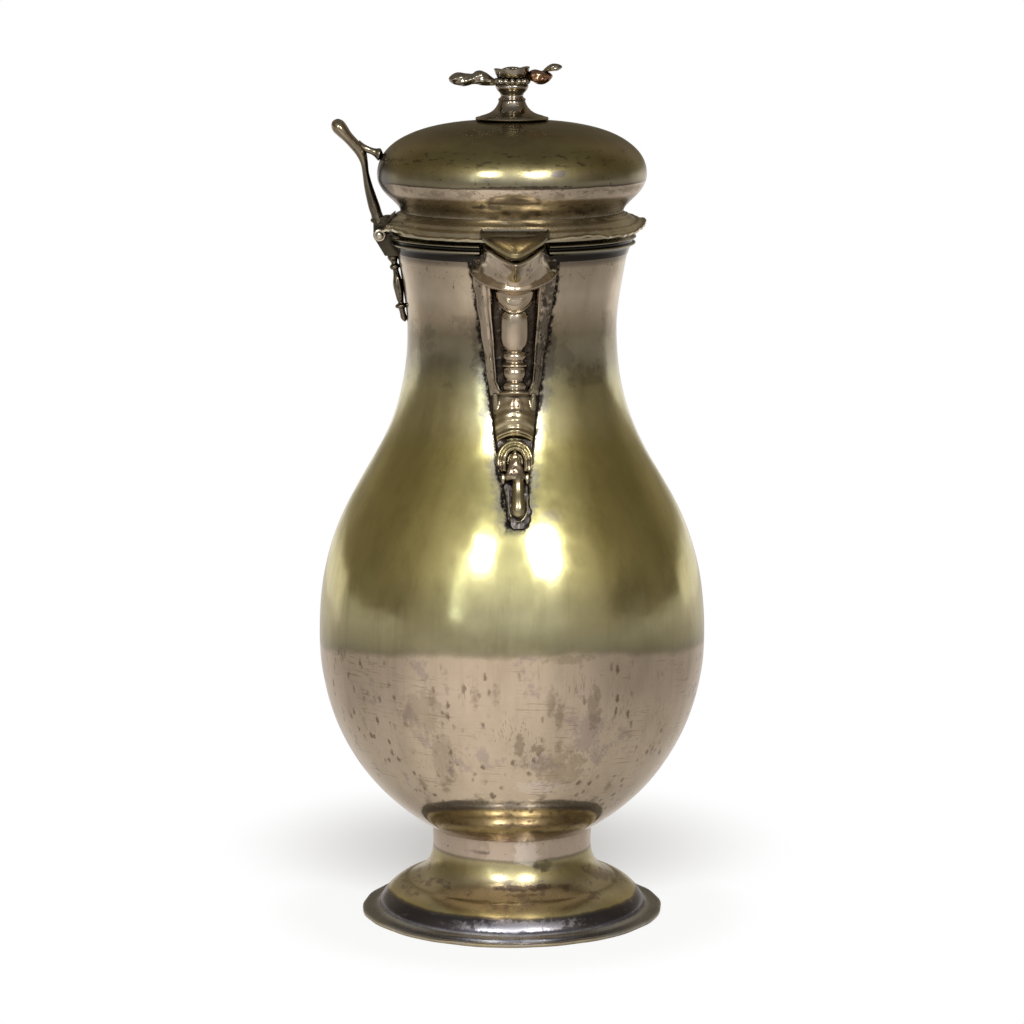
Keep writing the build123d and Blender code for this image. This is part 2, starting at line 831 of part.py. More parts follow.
with BuildPart() as lid_form:
    with BuildSketch(Plane.XZ):
        with BuildLine():
            for points in lid_curves(0):
                Bezier(*points)
            Polyline(
                (lid_seat_r, lid_seat_z), (0, lid_seat_z), (0, lid_waist_z),
                (lid_waist_r, lid_waist_z),
            )
        make_face()
    revolve(axis=Axis.Z)

brace_z = hinge_z + brace_height
brace_dome_x = -radius_at(lid_curves(0), brace_z)[0]
brace_length = brace_dome_x + lid_wall - hinge_x + 0.5 * thumb_reach
brace_plane = Plane(
    origin=(brace_dome_x + lid_wall, 0, brace_z), x_dir=(-1, 0, 0), z_dir=(0, -1, 0)
)
with BuildPart() as thumb_brace:
    with BuildSketch(brace_plane):
        with BuildLine():
            Polyline(
                (0, 0), (0, 2 * brace_r), (lid_wall, 2 * brace_r), (lid_wall + 2 * brace_r, brace_r),
                (brace_length, brace_r), (brace_length, 0), close=True,
            )
        make_face()
    revolve(axis=Axis((brace_dome_x, 0, brace_z), (-1, 0, 0)))
    add(lid_form.part, mode=Mode.SUBTRACT)
    add(thumbpiece.part, mode=Mode.SUBTRACT)
save(thumb_brace, "thumb_brace")

# ---------------------------------------------------------------- finial
disc_low_z = lid_seat_z + finial_gap
disc_top_z = disc_low_z + disc_thickness
neck_top_z = disc_top_z + flare_height
cup_top_z = neck_top_z + knop_cup_height
calyx_top_z = cup_top_z + calyx_height
flower_top_z = calyx_top_z + flower_height
plug_r = molinet_hole_r - plug_clearance

with BuildPart() as finial_disc:
    with BuildSketch(Plane.XZ):
        with BuildLine():
            Polyline(
                (rivet_r, neck_top_z), (rivet_r, disc_low_z), (disc_r, disc_low_z), (disc_r, disc_top_z)
            )
            Bezier(
                (disc_r, disc_top_z), (finial_neck_r * 1.6, disc_top_z + flare_height * 0.1),
                (finial_neck_r, disc_top_z + flare_height * 0.5), (finial_neck_r, neck_top_z),
            )
            Line((finial_neck_r, neck_top_z), (rivet_r, neck_top_z))
        make_face()
    revolve(axis=Axis.Z)
save(finial_disc, "finial_disc")

with BuildPart() as plug_collar:
    with BuildSketch(Plane.XY.offset(disc_low_z)):
        Circle(plug_r)
        Circle(plug_r - plug_wall, mode=Mode.SUBTRACT)
    extrude(amount=-plug_length)
save(plug_collar, "plug_collar")

with BuildPart() as finial_rivet:
    with BuildSketch(Plane.XY.offset(disc_low_z)):
        Circle(rivet_head_r)
    extrude(amount=-rivet_head_height)
    with BuildSketch(Plane.XY.offset(disc_low_z)):
        Circle(rivet_r)
    extrude(amount=calyx_top_z - disc_low_z)
    fillet(finial_rivet.edges().group_by(Axis.Z)[0], rivet_head_height * 0.6)
save(finial_rivet, "finial_rivet")

with BuildPart() as finial_cup:
    with BuildSketch(Plane.XZ):
        with BuildLine():
            Bezier(
                (finial_neck_r, neck_top_z), (knop_cup_r * 1.25, neck_top_z + knop_cup_height * 0.45),
                (knop_cup_r * 1.1, cup_top_z - knop_cup_height * 0.15), (finial_neck_r, cup_top_z),
            )
            Polyline(
                (finial_neck_r, cup_top_z), (rivet_r, cup_top_z), (rivet_r, neck_top_z),
                (finial_neck_r, neck_top_z),
            )
        make_face()
    revolve(axis=Axis.Z)
save(finial_cup, "finial_cup")

with BuildPart() as finial_calyx:
    with BuildSketch(Plane.XZ):
        with BuildLine():
            Polyline(
                (finial_neck_r, cup_top_z), (rivet_r, cup_top_z), (rivet_r, calyx_top_z),
                (finial_neck_r, calyx_top_z),
            )
            ThreePointArc(
                (finial_neck_r, calyx_top_z), (calyx_r, (cup_top_z + calyx_top_z) / 2),
                (finial_neck_r, cup_top_z),
            )
        make_face()
    revolve(axis=Axis.Z)
save(finial_calyx, "finial_calyx")

with BuildPart() as finial_flower:
    with BuildSketch(Plane.XZ):
        with BuildLine():
            Polyline(
                (0, calyx_top_z), (finial_neck_r, calyx_top_z), (flower_r, flower_top_z),
                (flower_r - flower_wall, flower_top_z),
                (finial_neck_r - flower_wall, calyx_top_z + flower_wall), (0, calyx_top_z + flower_wall),
                close=True,
            )
        make_face()
    revolve(axis=Axis.Z)
save(finial_flower, "finial_flower")


def finial_leaf(way, length, width, angle):
    """Leaf that springs from the calyx to one side (way -1 or 1) and climbs by angle degrees."""
    slope = radians(angle)
    root = Plane(
        origin=(way * finial_neck_r, 0, calyx_top_z - 1.35 * finial_leaf_thickness),
        x_dir=(way * cos(slope), 0, sin(slope)), z_dir=(-way * sin(slope), 0, cos(slope)),
    )
    half = width / 2
    with BuildPart() as leaf:
        with BuildSketch(root):
            with BuildLine():
                Bezier((0, half / 2), (length * 0.3, half / 2), (length * 0.5, half * 1.7), (length, 0))
                Bezier((length, 0), (length * 0.5, -half * 1.7), (length * 0.3, -half / 2), (0, -half / 2))
                Line((0, -half / 2), (0, half / 2))
            make_face()
        extrude(amount=finial_leaf_thickness)
        add(finial_calyx.part, mode=Mode.SUBTRACT)
        add(finial_flower.part, mode=Mode.SUBTRACT)
        add(finial_rivet.part, mode=Mode.SUBTRACT)
    return leaf


left_leaf = finial_leaf(-1, left_leaf_length, left_leaf_width, left_leaf_angle)
save(left_leaf, "finial_leaf_left")
right_leaf = finial_leaf(1, right_leaf_length, right_leaf_width, right_leaf_angle)
save(right_leaf, "finial_leaf_right")

# ---------------------------------------------------------------- handle
tenon_r = grip_thickness / 2 - socket_wall
socket_bore_r = tenon_r + tenon_clearance
handle_mouth_y = body_at(handle_top_z)[0] + upper_socket_length
handle_bow_r = belly_r + handle_reach - handle_mouth_y
top_mouth = Plane(origin=(0, handle_mouth_y, handle_top_z), x_dir=(1, 0, 0), z_dir=(0, 1, 0))

socket_r = socket_bore_r + socket_wall
socket_bore_depth = grip_tenon + tenon_clearance


def pin_plane(mouth):
    """Plane beside a socket, with its normal along +X through the middle of the tenon."""
    middle = mouth.origin - mouth.z_dir * grip_tenon / 2
    return Plane(origin=middle - Vector(grip_width, 0, 0), x_dir=(0, 1, 0), z_dir=(1, 0, 0))


with BuildPart() as handle_grip:
    with BuildLine(Plane.YZ) as spine:
        bow = JernArc((handle_mouth_y, handle_top_z), (1, 0), handle_bow_r, -90)
        back = JernArc(bow @ 1, bow % 1, handle_back_r, -handle_back_angle)
    with BuildSketch(top_mouth):
        Ellipse(grip_width / 2, grip_thickness / 2)
    sweep()
    foot_mouth = Plane(origin=back @ 1, x_dir=(1, 0, 0), z_dir=-(back % 1))
    for mouth in (top_mouth, foot_mouth):
        with BuildSketch(mouth):
            Circle(tenon_r)
        extrude(amount=-grip_tenon)
        with BuildSketch(pin_plane(mouth)):
            Circle(handle_pin_r + pin_clearance)
        extrude(amount=2 * grip_width, mode=Mode.SUBTRACT)
save(handle_grip, "handle_grip")


def wall_distance(mouth):
    """How far a socket's axis runs from its mouth to the body's wall."""
    near, far = 0.0, belly_r
    for _ in range(40):
        middle = (near + far) / 2
        point = mouth.origin - mouth.z_dir * middle
        if point.Y > body_at(point.Z)[0]:
            near = middle
        else:
            far = middle
    return near


def handle_socket(mouth):
    """Cast socket on the body's wall that takes the wood's round tenon at its mouth."""
    length = wall_distance(mouth)
    side = Plane(origin=mouth.origin, x_dir=mouth.x_dir, z_dir=-mouth.y_dir)
    foot_radius = socket_r * socket_foot_flare
    with BuildPart() as socket:
        with BuildSketch(side):
            with BuildLine():
                Polyline(
                    (socket_r * 0.94, 0), (socket_bore_r, 0), (socket_bore_r, -socket_bore_depth),
                    (0, -socket_bore_depth), (0, -length - socket_r), (foot_radius, -length - socket_r),
                    (foot_radius, -length * 0.94),
                )
                Bezier(
                    (foot_radius, -length * 0.94), (socket_r * 0.8, -length * 0.85),
                    (socket_r * 0.85, -length * 0.6), (socket_r, -length * 0.35),
                )
                ThreePointArc(
                    (socket_r, -length * 0.35), (socket_r * 1.03, -length * 0.15), (socket_r * 0.94, 0)
                )
            make_face()
        revolve(axis=Axis(mouth.origin, mouth.z_dir))
        with BuildSketch(pin_plane(mouth)):
            Circle(handle_pin_r + pin_clearance)
        extrude(amount=2 * grip_width, mode=Mode.SUBTRACT)
        add(body_form.part, mode=Mode.SUBTRACT)
    return socket


def handle_pin(mouth):
    """Silver pin through a socket and the wood in it."""
    with BuildPart() as pin:
        with BuildSketch(pin_plane(mouth).offset(grip_width - socket_r - pin_proud)):
            Circle(handle_pin_r)
        extrude(amount=2 * (socket_r + pin_proud))
        fillet(pin.edges().group_by(Axis.X)[0] + pin.edges().group_by(Axis.X)[-1], pin_proud * 0.9)
    return pin


save(handle_socket(top_mouth), "handle_socket_upper")
save(handle_socket(foot_mouth), "handle_socket_lower")
save(handle_pin(top_mouth), "handle_pin_upper")
save(handle_pin(foot_mouth), "handle_pin_lower")
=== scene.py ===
from math import asin, atan2, cos, exp, hypot, pi, radians, sin, sqrt

import bmesh
import bpy
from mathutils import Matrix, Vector, noise


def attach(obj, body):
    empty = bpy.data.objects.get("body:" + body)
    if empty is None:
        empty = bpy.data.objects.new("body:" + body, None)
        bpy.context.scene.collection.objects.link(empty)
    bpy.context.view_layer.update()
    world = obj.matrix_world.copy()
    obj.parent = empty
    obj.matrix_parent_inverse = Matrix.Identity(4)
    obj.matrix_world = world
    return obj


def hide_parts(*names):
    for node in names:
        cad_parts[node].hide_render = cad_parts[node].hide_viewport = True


# A raised silver chocolate pot: pear-shaped body, domed foot, beaked spout, hinged lid with a
# lift-out finial, wooden handle. Lengths below are millimetres in the frame of the CAD.
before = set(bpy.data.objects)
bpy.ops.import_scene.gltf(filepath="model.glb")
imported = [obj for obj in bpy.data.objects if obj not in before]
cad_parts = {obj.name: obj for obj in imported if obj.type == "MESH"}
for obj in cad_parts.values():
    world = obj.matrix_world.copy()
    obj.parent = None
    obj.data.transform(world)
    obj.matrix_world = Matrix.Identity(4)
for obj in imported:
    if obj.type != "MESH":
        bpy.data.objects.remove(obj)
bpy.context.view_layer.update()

MM = 0.001

# ---- outlines, as in the part
RIM_R, RIM_Z = 40.4, 235.8
RIM_RUN, RIM_RISE = 1.7, 8.5  # the neck flares by this much up to the rim
WALL = 1
SEAT_SLOPE = radians(29.8)
FOOT_FLARE = 8.7
STEM_Z, BRIM_Z = 25, 3.4  # ends of the foot's curved outline
LID_SEAT_Z = 273.4
LID_WAIST_Z = 242.65
HINGE_X, HINGE_Z = -44.7, 235.6


def body_curves(grow):
    """Bezier outline of the body, base to rim, moved outwards by grow."""
    seat = (27.6 + grow * sin(SEAT_SLOPE), 30.4 - grow * cos(SEAT_SLOPE))
    run, rise = 18.8 * cos(SEAT_SLOPE), 18.8 * sin(SEAT_SLOPE)
    belly, waist, rim = 66.2 + grow, 35.55 + grow, RIM_R + grow
    return [
        [(0, 23.5 - grow), (12, 23.5 - grow), (seat[0] - run / 2, seat[1] - rise / 2), seat],
        [seat, (seat[0] + run, seat[1] + rise), (belly, 60.7), (belly, 98)],
        [(belly, 98), (belly, 153.7), (waist, 153.5), (waist, 203.5)],
        [(waist, 203.5), (waist, 212.5), (rim - RIM_RUN, RIM_Z - RIM_RISE), (rim, RIM_Z)],
    ]


def foot_curves(grow):
    """Bezier outline of the foot, stem to edge, moved outwards by grow."""
    stem, edge = 27.3 + grow, 45.9 + grow
    shoulder = (36 + grow / 2, 11.6 + grow)
    flare = FOOT_FLARE
    return [
        [(stem, STEM_Z), (stem, STEM_Z - 1.05 * flare),
         (shoulder[0] - 0.4 * flare, shoulder[1] + 0.2 * flare), shoulder],
        [shoulder, (shoulder[0] + 0.5 * flare, shoulder[1] - 0.05 * flare),
         (edge, BRIM_Z + 0.18 * flare), (edge, BRIM_Z)],
    ]


def lid_curves(grow):
    """Bezier outline of the lid's dome, waist to seat, moved outwards by grow."""
    waist, crest, seat = 37.6 + grow, 45.6 + grow, (12.5, LID_SEAT_Z + grow)
    return [
        [(waist, LID_WAIST_Z), (waist, LID_WAIST_Z + 4.1), (crest, 249), (crest, 255.6)],
        [(crest, 255.6), (crest, 264.8 + grow), (35.3, seat[1] - 1.1), seat],
    ]


def bezier(points, t):
    weights = [(1 - t) ** 3, 3 * t * (1 - t) ** 2, 3 * t**2 * (1 - t), t**3]
    return tuple(sum(w * p[k] for w, p in zip(weights, points)) for k in range(len(points[0])))


def sample(curves, counts):
    """Points along Bezier curves, counts[i] steps on curve i."""
    points = [bezier(curves[0], 0)]
    for curve, count in zip(curves, counts):
        points += [bezier(curve, k / count) for k in range(1, count + 1)]
    return points


WALL_TABLE = sample(body_curves(0)[1:], (150, 200, 120))


def wall_at(z):
    """Outside radius of the body at height z and how far its wall leans outwards (radians)."""
    for (r0, z0), (r1, z1) in zip(WALL_TABLE, WALL_TABLE[1:]):
        if z <= z1:
            return r0 + (r1 - r0) * (z - z0) / (z1 - z0), atan2(r1 - r0, z1 - z0)
    return RIM_R, atan2(RIM_RUN, RIM_RISE)


def polar(r, angle, z):
    """Point at radius r and azimuth angle."""
    return (r * cos(angle), r * sin(angle), z)


def on_wall(x, z, proud, azimuth=-90):
    """Point on the body at height z, x to the side of azimuth, and proud of the wall."""
    radius, lean = wall_at(z)
    return polar(radius + proud * cos(lean), radians(azimuth) + x / radius, z - proud * sin(lean))


def smooth(a, b, t):
    """0 at a to 1 at b, eased at both ends."""
    t = min(max((t - a) / (b - a), 0), 1)
    return t * t * (3 - 2 * t)


def turns(count):
    """Angles evenly round a full turn."""
    return [2 * pi * k / count for k in range(count)]


def through(stations, steps):
    """Catmull-Rom points through stations, tuples of any length."""
    ends = [stations[0]] + list(stations) + [stations[-1]]
    out = []
    for a, b, c, d in zip(ends, ends[1:], ends[2:], ends[3:]):
        for k in range(steps):
            t = k / steps
            out.append(tuple(
                0.5 * (2 * q + (r - p) * t + (2 * p - 5 * q + 4 * r - s) * t**2
                       + (3 * q - p - 3 * r + s) * t**3)
                for p, q, r, s in zip(a, b, c, d)
            ))
    return out + [tuple(stations[-1])]


def between(stations, z):
    """Value at z of a smooth line through (z, value) stations in rising order."""
    if z <= stations[0][0]:
        return stations[0][1]
    for (z0, v0), (z1, v1) in zip(stations, stations[1:]):
        if z <= z1:
            return v0 + (v1 - v0) * smooth(z0, z1, z)
    return stations[-1][1]


def dent(point, size, depth):
    """Unevenness of hand-raised metal: at most depth, in lumps of about size."""
    return depth * noise.noise(Vector(point) / size)


def round_noise(angle, waves, layer):
    """Smooth noise round the pot: the more waves, the shorter its lumps."""
    return noise.noise(polar(waves, angle, layer))


# ---- mesh builders
THINNEST = 0.02  # no ring closes to a point


def sheet(outer, inner, wrap=True, keep=lambda i, j: True):
    """Closed wall between two grids of points; keep(i, j) says which cells it has."""
    rows, cols = len(outer), len(outer[0])
    verts = [p for row in outer for p in row] + [p for row in inner for p in row]
    shift = rows * cols
    last = cols if wrap else cols - 1

    def kept(i, j):
        if wrap:
            j %= cols
        return 0 <= i < rows - 1 and 0 <= j < last and keep(i, j)

    faces = []
    for i in range(rows - 1):
        for j in range(last):
            if not kept(i, j):
                continue
            k = (j + 1) % cols
            a, b, c, d = i * cols + j, i * cols + k, (i + 1) * cols + k, (i + 1) * cols + j
            faces += [(a, b, c, d), (d + shift, c + shift, b + shift, a + shift)]
            for neighbour, (p, q) in (
                ((i - 1, j), (b, a)), ((i + 1, j), (d, c)), ((i, j - 1), (a, d)), ((i, j + 1), (c, b))
            ):
                if not kept(*neighbour):
                    faces.append((p, q, q + shift, p + shift))
    return verts, faces


def skin(rows, cols, closed=False):
    """Faces between rows of cols points, each a loop; closed joins the last row to the first."""
    faces = []
    for i in range(rows if closed else rows - 1):
        a, b = i * cols, (i + 1) % rows * cols
        faces += [(a + k, a + (k + 1) % cols, b + (k + 1) % cols, b + k) for k in range(cols)]
    return faces


def lathe(profile, count, closed=True, shape=lambda r, z, angle: (r, z)):
    """Profile of (r, z) turned about Z. A closed profile goes round; an open one ends on the axis.

    shape(r, z, angle) gives the point's own (r, z) where the piece isn't truly round.
    """
    verts = []
    for r, z in profile:
        for angle in turns(count):
            rr, zz = shape(r, z, angle)
            verts.append(polar(rr, angle, zz))
    return verts, skin(len(profile), count, closed)


def arc_bar(profile, start, end, count):
    """Closed profile of (r, z) swept about Z from angle start to end, with flat ends."""
    verts = []
    for k in range(count + 1):
        angle = start + (end - start) * k / count
        verts += [polar(r, angle, z) for r, z in profile]
    size = len(profile)
    ends = [tuple(range(size)), tuple(range(count * size, (count + 1) * size))]
    return verts, skin(count + 1, size) + ends


def tube(rings):
    """Closed skin over rings of points, with a point closing each end."""
    size = len(rings[0])
    verts = [p for ring in rings for p in ring]
    faces = skin(len(rings), size)
    for ring, base in ((rings[0], 0), (rings[-1], (len(rings) - 1) * size)):
        verts.append(tuple(sum(p[c] for p in ring) / size for c in range(3)))
        faces += [(len(verts) - 1, base + k, base + (k + 1) % size) for k in range(size)]
    return verts, faces


def ring(centre, across, out, half_across, half_out, count=40, shape=lambda angle: 1):
    """Oval ring round centre in the plane of two directions; shape(angle) swells it."""
    centre, across, out = Vector(centre), Vector(across).normalized(), Vector(out).normalized()
    points = []
    for angle in turns(count):
        swell = shape(angle)
        points.append(tuple(
            centre + across * (half_across * swell * cos(angle)) + out * (half_out * swell * sin(angle))
        ))
    return points


def wall_tube(stations, azimuth=-90, count=40, steps=5, x=0, lift=0):
    """Turned ornament up the wall: stations are (z, half width, half depth, proud).

    lift bends each ring's two sides upwards.
    """
    turn = radians(azimuth)
    rings = []
    for z, half_width, half_depth, proud in through(stations, steps):
        lean = wall_at(z)[1]
        out = (cos(turn) * cos(lean), sin(turn) * cos(lean), -sin(lean))
        points = ring(
            on_wall(x, z, proud, azimuth), (-sin(turn), cos(turn), 0), out,
            max(half_width, THINNEST), max(half_depth, THINNEST), count,
        )
        rings.append([
            (px, py, pz + lift * cos(angle) ** 2)
            for angle, (px, py, pz) in zip(turns(count), points)
        ])
    return tube(rings)


def merge(*parts):
    verts, faces = [], []
    for v, f in parts:
        faces += [tuple(i + len(verts) for i in face) for face in f]
        verts += v
    return verts, faces


# angle in degrees from which an edge shows, on hammered sheet and on castings
SHEET_SHARP, CAST_SHARP = 38, 60


def piece(name, shape, material, body, nodes=(), sharp=CAST_SHARP):
    """Blender object for a closed shape in millimetres, riding a body and standing for nodes."""
    verts, faces = shape
    mesh = bpy.data.meshes.new(name)
    build = bmesh.new()
    made = [build.verts.new([c * MM for c in v]) for v in verts]
    for face in faces:
        build.faces.new([made[i] for i in face])
    bmesh.ops.remove_doubles(build, verts=build.verts, dist=2e-7)
    bmesh.ops.dissolve_degenerate(build, edges=build.edges, dist=1e-7)
    bmesh.ops.recalc_face_normals(build, faces=build.faces)
    build.to_mesh(mesh)
    build.free()
    mesh.polygons.foreach_set("use_smooth", [True] * len(mesh.polygons))
    mesh.set_sharp_from_angle(angle=radians(sharp))
    obj = bpy.data.objects.new(name, mesh)
    bpy.context.collection.objects.link(obj)
    mesh.materials.append(material)
    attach(obj, body)
    if nodes:
        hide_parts(*nodes)


# ---- materials
def colour(code):
    """Linear colour of an sRGB hex code."""
    parts = [int(code[i:i + 2], 16) / 255 for i in (0, 2, 4)]
    return [c / 12.92 if c <= 0.04045 else ((c + 0.055) / 1.055) ** 2.4 for c in parts] + [1]


class Nodes:
    """Short hand for building the nodes of a material or a world."""

    def __init__(self, owner):
        owner.use_nodes = True
        self.owner, self.tree = owner, owner.node_tree
        self.tree.nodes.clear()

    def add(self, kind, settings=None, **inputs):
        """Node of a kind. An input goes by its name, or by its number as i0, i1 and so on."""
        node = self.tree.nodes.new("ShaderNode" + kind)
        for key, value in (settings or {}).items():
            setattr(node, key, value)
        for key, value in inputs.items():
            socket = node.inputs[int(key[1:]) if key[1:].isdigit() else key]
            if isinstance(value, bpy.types.NodeSocket):
                self.tree.links.new(value, socket)
            else:
                socket.default_value = colour(value) if isinstance(value, str) else value
        return node

    def math(self, operation, a, b=0, c=0, clamp=False):
        settings = {"operation": operation, "use_clamp": clamp}
        return self.add("Math", settings, i0=a, i1=b, i2=c).outputs[0]

    def times(self, *factors):
        """Product of two or more values."""
        product = factors[0]
        for factor in factors[1:]:
            product = self.math("MULTIPLY", product, factor)
        return product

    def plus(self, a, b):
        return self.math("ADD", a, b)

    def minus(self, a, b):
        return self.math("SUBTRACT", a, b)

    def madd(self, a, b, c, clamp=False):
        """a times b, plus c."""
        return self.math("MULTIPLY_ADD", a, b, c, clamp)

    def span(self, value, low, high, to_low=0, to_high=1):
        """Smooth step of value from low to high."""
        return self.add(
            "MapRange", {"interpolation_type": "SMOOTHSTEP"},
            i0=value, i1=low, i2=high, i3=to_low, i4=to_high,
        ).outputs[0]

    def mix(self, factor, a, b, blend="MIX"):
        settings = {"data_type": "RGBA", "blend_type": blend}
        return self.add("Mix", settings, i0=factor, i6=a, i7=b).outputs[2]

    def ramp(self, value, stops):
        """Colour ramp node over (position, colour) stops."""
        node = self.add("ValToRGB", i0=value)
        elements = node.color_ramp.elements
        while len(elements) < len(stops):
            elements.new(0.5)
        for element, (position, tint) in zip(elements, stops):
            element.position, element.color = position, tint
        return node

    def axes(self, vector):
        return self.add("SeparateXYZ", i0=vector).outputs

    def object_place(self):
        """Object coordinates, which stretched uses from then on."""
        self.place = self.add("TexCoord").outputs["Object"]
        return self.place

    def stretched(self, scale, turn=(0, 0, 0)):
        """Object coordinates turned, then scaled per axis."""
        turned = self.add("Mapping", i0=self.place, i2=turn).outputs[0]
        return self.add("Mapping", i0=turned, i3=scale).outputs[0]

    def noise(self, vector, scale, detail=3, rough=0.55, distortion=0):
        return self.add(
            "TexNoise", Vector=vector, Scale=scale, Detail=detail, Roughness=rough,
            Distortion=distortion,
        ).outputs[0]

    def cells(self, vector, scale):
        """Distance to the nearest of scattered points."""
        return self.add("TexVoronoi", Vector=vector, Scale=scale).outputs["Distance"]

    def bump(self, strength, distance, height):
        return self.add("Bump", Strength=strength, Distance=distance, Height=height).outputs[0]

    def close(self, shader, kind="OutputMaterial"):
        """Link the finished shader to the output; gives the material or world."""
        self.add(kind, i0=shader.outputs[0])
        return self.owner


def ragged_edge(n):
    """Fine noise about 0, which frays the edge of a mark."""
    return n.minus(n.noise(n.place, 380, 5, 0.72), 0.5)


PLATE_SLOPE = 0.138  # how fast the spout's plate widens upwards
LEVER_SIDE = (-0.0435, -0.0385)  # x over which the painted shade behind the lever fades


def silver(
    name, zones, wander=2, edge=1, streaks=0.2, drips=0, drip_zone=(0, 300), marks=(),
    patina=1, hollow=(0.35, 0.92), scratches=0, scratch_zone=(0, 300), rough=(0.12, 0.22),
    pits=0, relief=0.02, blotch="6a5b45", blotches=0.25, dark="231f1b", reach=2, halo=0,
    stains_and_light=(), polished=None, lever_shade=None, sag=0,
):
    """Tarnished silver. zones are (height in mm, colour), joined along lines that wander by wander;
    on the body, lid, foot and rim the zone colours also paint reflections and shade on the metal.

    streaks run up and down; drips are small brown spots of dirt in drip_zone; each of marks is a
    smudge field (low, high, size, tall, cover, strength, colour); patina is the dark in recesses
    within reach mm; pits are small corroded holes; halo is the tarnish round the spout's plate; the
    front marks, each (x, z, half width, half height, strength, colour), are dirt and tarnish and, on
    some pieces, painted highlights and painted shade; the metal is brighter below height polished;
    the strip behind the lever, (low, high), is painted shade: the lever's shadow and dark reflection
    on the lid; sag is how far the zones' lines droop towards the sides, in mm at 50 mm from the middle.
    """
    n = Nodes(bpy.data.materials.new(name))
    coords = n.object_place()
    xyz = n.axes(coords)
    low, high = zones[0][0], zones[-1][0]

    def band(bottom, top, soft):
        """1 between two heights, fading over soft mm."""
        return n.times(
            n.span(xyz[2], bottom * MM, (bottom + soft) * MM),
            n.span(xyz[2], (top - soft) * MM, top * MM, 1, 0),
        )

    # colour by height, along lines that wander
    drift = n.madd(n.noise(coords, 32, 2), 0.7, n.times(n.noise(coords, 240, 4, 0.7), 0.3 * edge))
    height = n.plus(xyz[2], n.times(xyz[0], xyz[0], sag / 50**2 / MM))
    shifted = n.madd(n.minus(drift, 0.5), wander * 3 * MM, height)
    level = n.math("DIVIDE", n.minus(shifted, low * MM), (high - low) * MM, clamp=True)
    stops = [((z - low) / (high - low), colour(code)) for z, code in zones]
    base = n.ramp(level, stops).outputs[0]

    # broad patches of tarnish, then streaks that run up the metal
    broad = n.noise(n.stretched((1, 1, 0.8)), 52, 6, 0.62)
    base = n.mix(n.times(n.span(broad, 0.44, 0.68), blotches), base, blotch)
    streak = n.noise(n.stretched((1, 1, 0.09)), 150, 5, 0.7)
    base = n.mix(n.times(n.span(streak, 0.45, 0.72), streaks), base, "8f7f66", "MULTIPLY")
    dirt = 0
    if drips:
        warp = n.times(n.minus(n.noise(coords, 620), 0.5), 0.6)
        trail = n.span(n.noise(n.stretched((1, 1, 0.22)), 78, 3, 0.6), 0.46, 0.56)
        small = n.plus(n.cells(n.stretched((1, 1, 0.5)), 330), warp)
        large = n.plus(n.cells(n.stretched((1, 1, 0.32), (0, 0, 1.1)), 170), warp)
        patch = n.noise(n.stretched((1, 1, 0.5), (0, 0, 0.6)), 42, 2)
        spots = n.times(n.span(small, 0.12, 0.34, 0.95, 0), trail)
        blobs = n.times(n.span(large, 0.1, 0.4, 0.6, 0), n.span(patch, 0.5, 0.57))
        dirt = n.times(n.math("MAXIMUM", spots, blobs), band(*drip_zone, 5))
        base = n.mix(n.times(dirt, drips), base, "56432f")
    for bottom, top, size, tall, cover, strength, code in marks:
        field = n.noise(n.stretched((1, 1, 1 / tall), (0, 0, 0.1 * size)), 1000 / size, 5, 0.7)
        mark = n.times(n.span(field, cover, cover + 0.07, 0, strength), band(bottom, top, 2))
        base = n.mix(mark, base, code)
    front = n.span(xyz[1], -0.03, -0.02, 1, 0)
    # front marks: dirt and tarnish, and on some pieces painted highlights and painted shade
    for x, z, half_width, half_height, strength, code in stains_and_light:
        across = n.math("DIVIDE", n.minus(xyz[0], x * MM), half_width * MM)
        up = n.math("DIVIDE", n.minus(xyz[2], z * MM), half_height * MM)
        away = n.plus(n.times(across, across), n.times(up, up))
        away = n.madd(ragged_edge(n), 4.5, away)
        base = n.mix(n.times(n.span(away, 0.3, 1.1, strength, 0), front), base, code)
    # painted shade: a dark strip on the lid behind the lever, its shadow and dark reflection
    if lever_shade:
        strip = n.madd(ragged_edge(n), 0.0012, xyz[0])
        base = n.mix(n.times(n.span(strip, *LEVER_SIDE, 0.9, 0), band(*lever_shade, 2)), base, dark)
    pit_mask = 0
    if pits:
        warp = n.times(n.minus(n.noise(coords, 1500, 2), 0.5), 0.6)
        hole = n.plus(n.cells(coords, 620), warp)
        where = n.span(n.noise(coords, 170, 4, 0.65), 0.5, 0.6)
        pit_mask = n.times(n.span(hole, 0.14, 0.36, 1, 0), where)
        base = n.mix(n.times(pit_mask, pits), base, dark)
    if halo:
        # distance from the plate's sloping edge
        beside = n.madd(xyz[2], -PLATE_SLOPE, n.math("ABSOLUTE", xyz[0]))
        ragged = n.minus(n.noise(coords, 210, 5, 0.7), 0.5)
        low_end = n.times(n.span(xyz[2], 0.1405, 0.1445), front)
        wide = n.madd(ragged, 0.014, beside)
        near = n.times(n.span(wide, -0.0164, -0.0128, 1, 0), low_end)
        near = n.times(near, n.span(xyz[2], 0.204, 0.214, 1, 0.15))
        tarnish = n.mix(n.span(xyz[2], 0.185, 0.2), "8a868d", "5d554c")
        base = n.mix(n.times(near, 0.6 * halo), base, tarnish)
        tight = n.madd(ragged, 0.005, beside)
        edge_line = n.times(n.span(tight, -0.0167, -0.0158, 1, 0), low_end)
        speck = n.span(n.noise(coords, 800, 3, 0.7), 0.36, 0.5, 0.35, 1)
        base = n.mix(n.times(edge_line, speck, halo), base, dark)

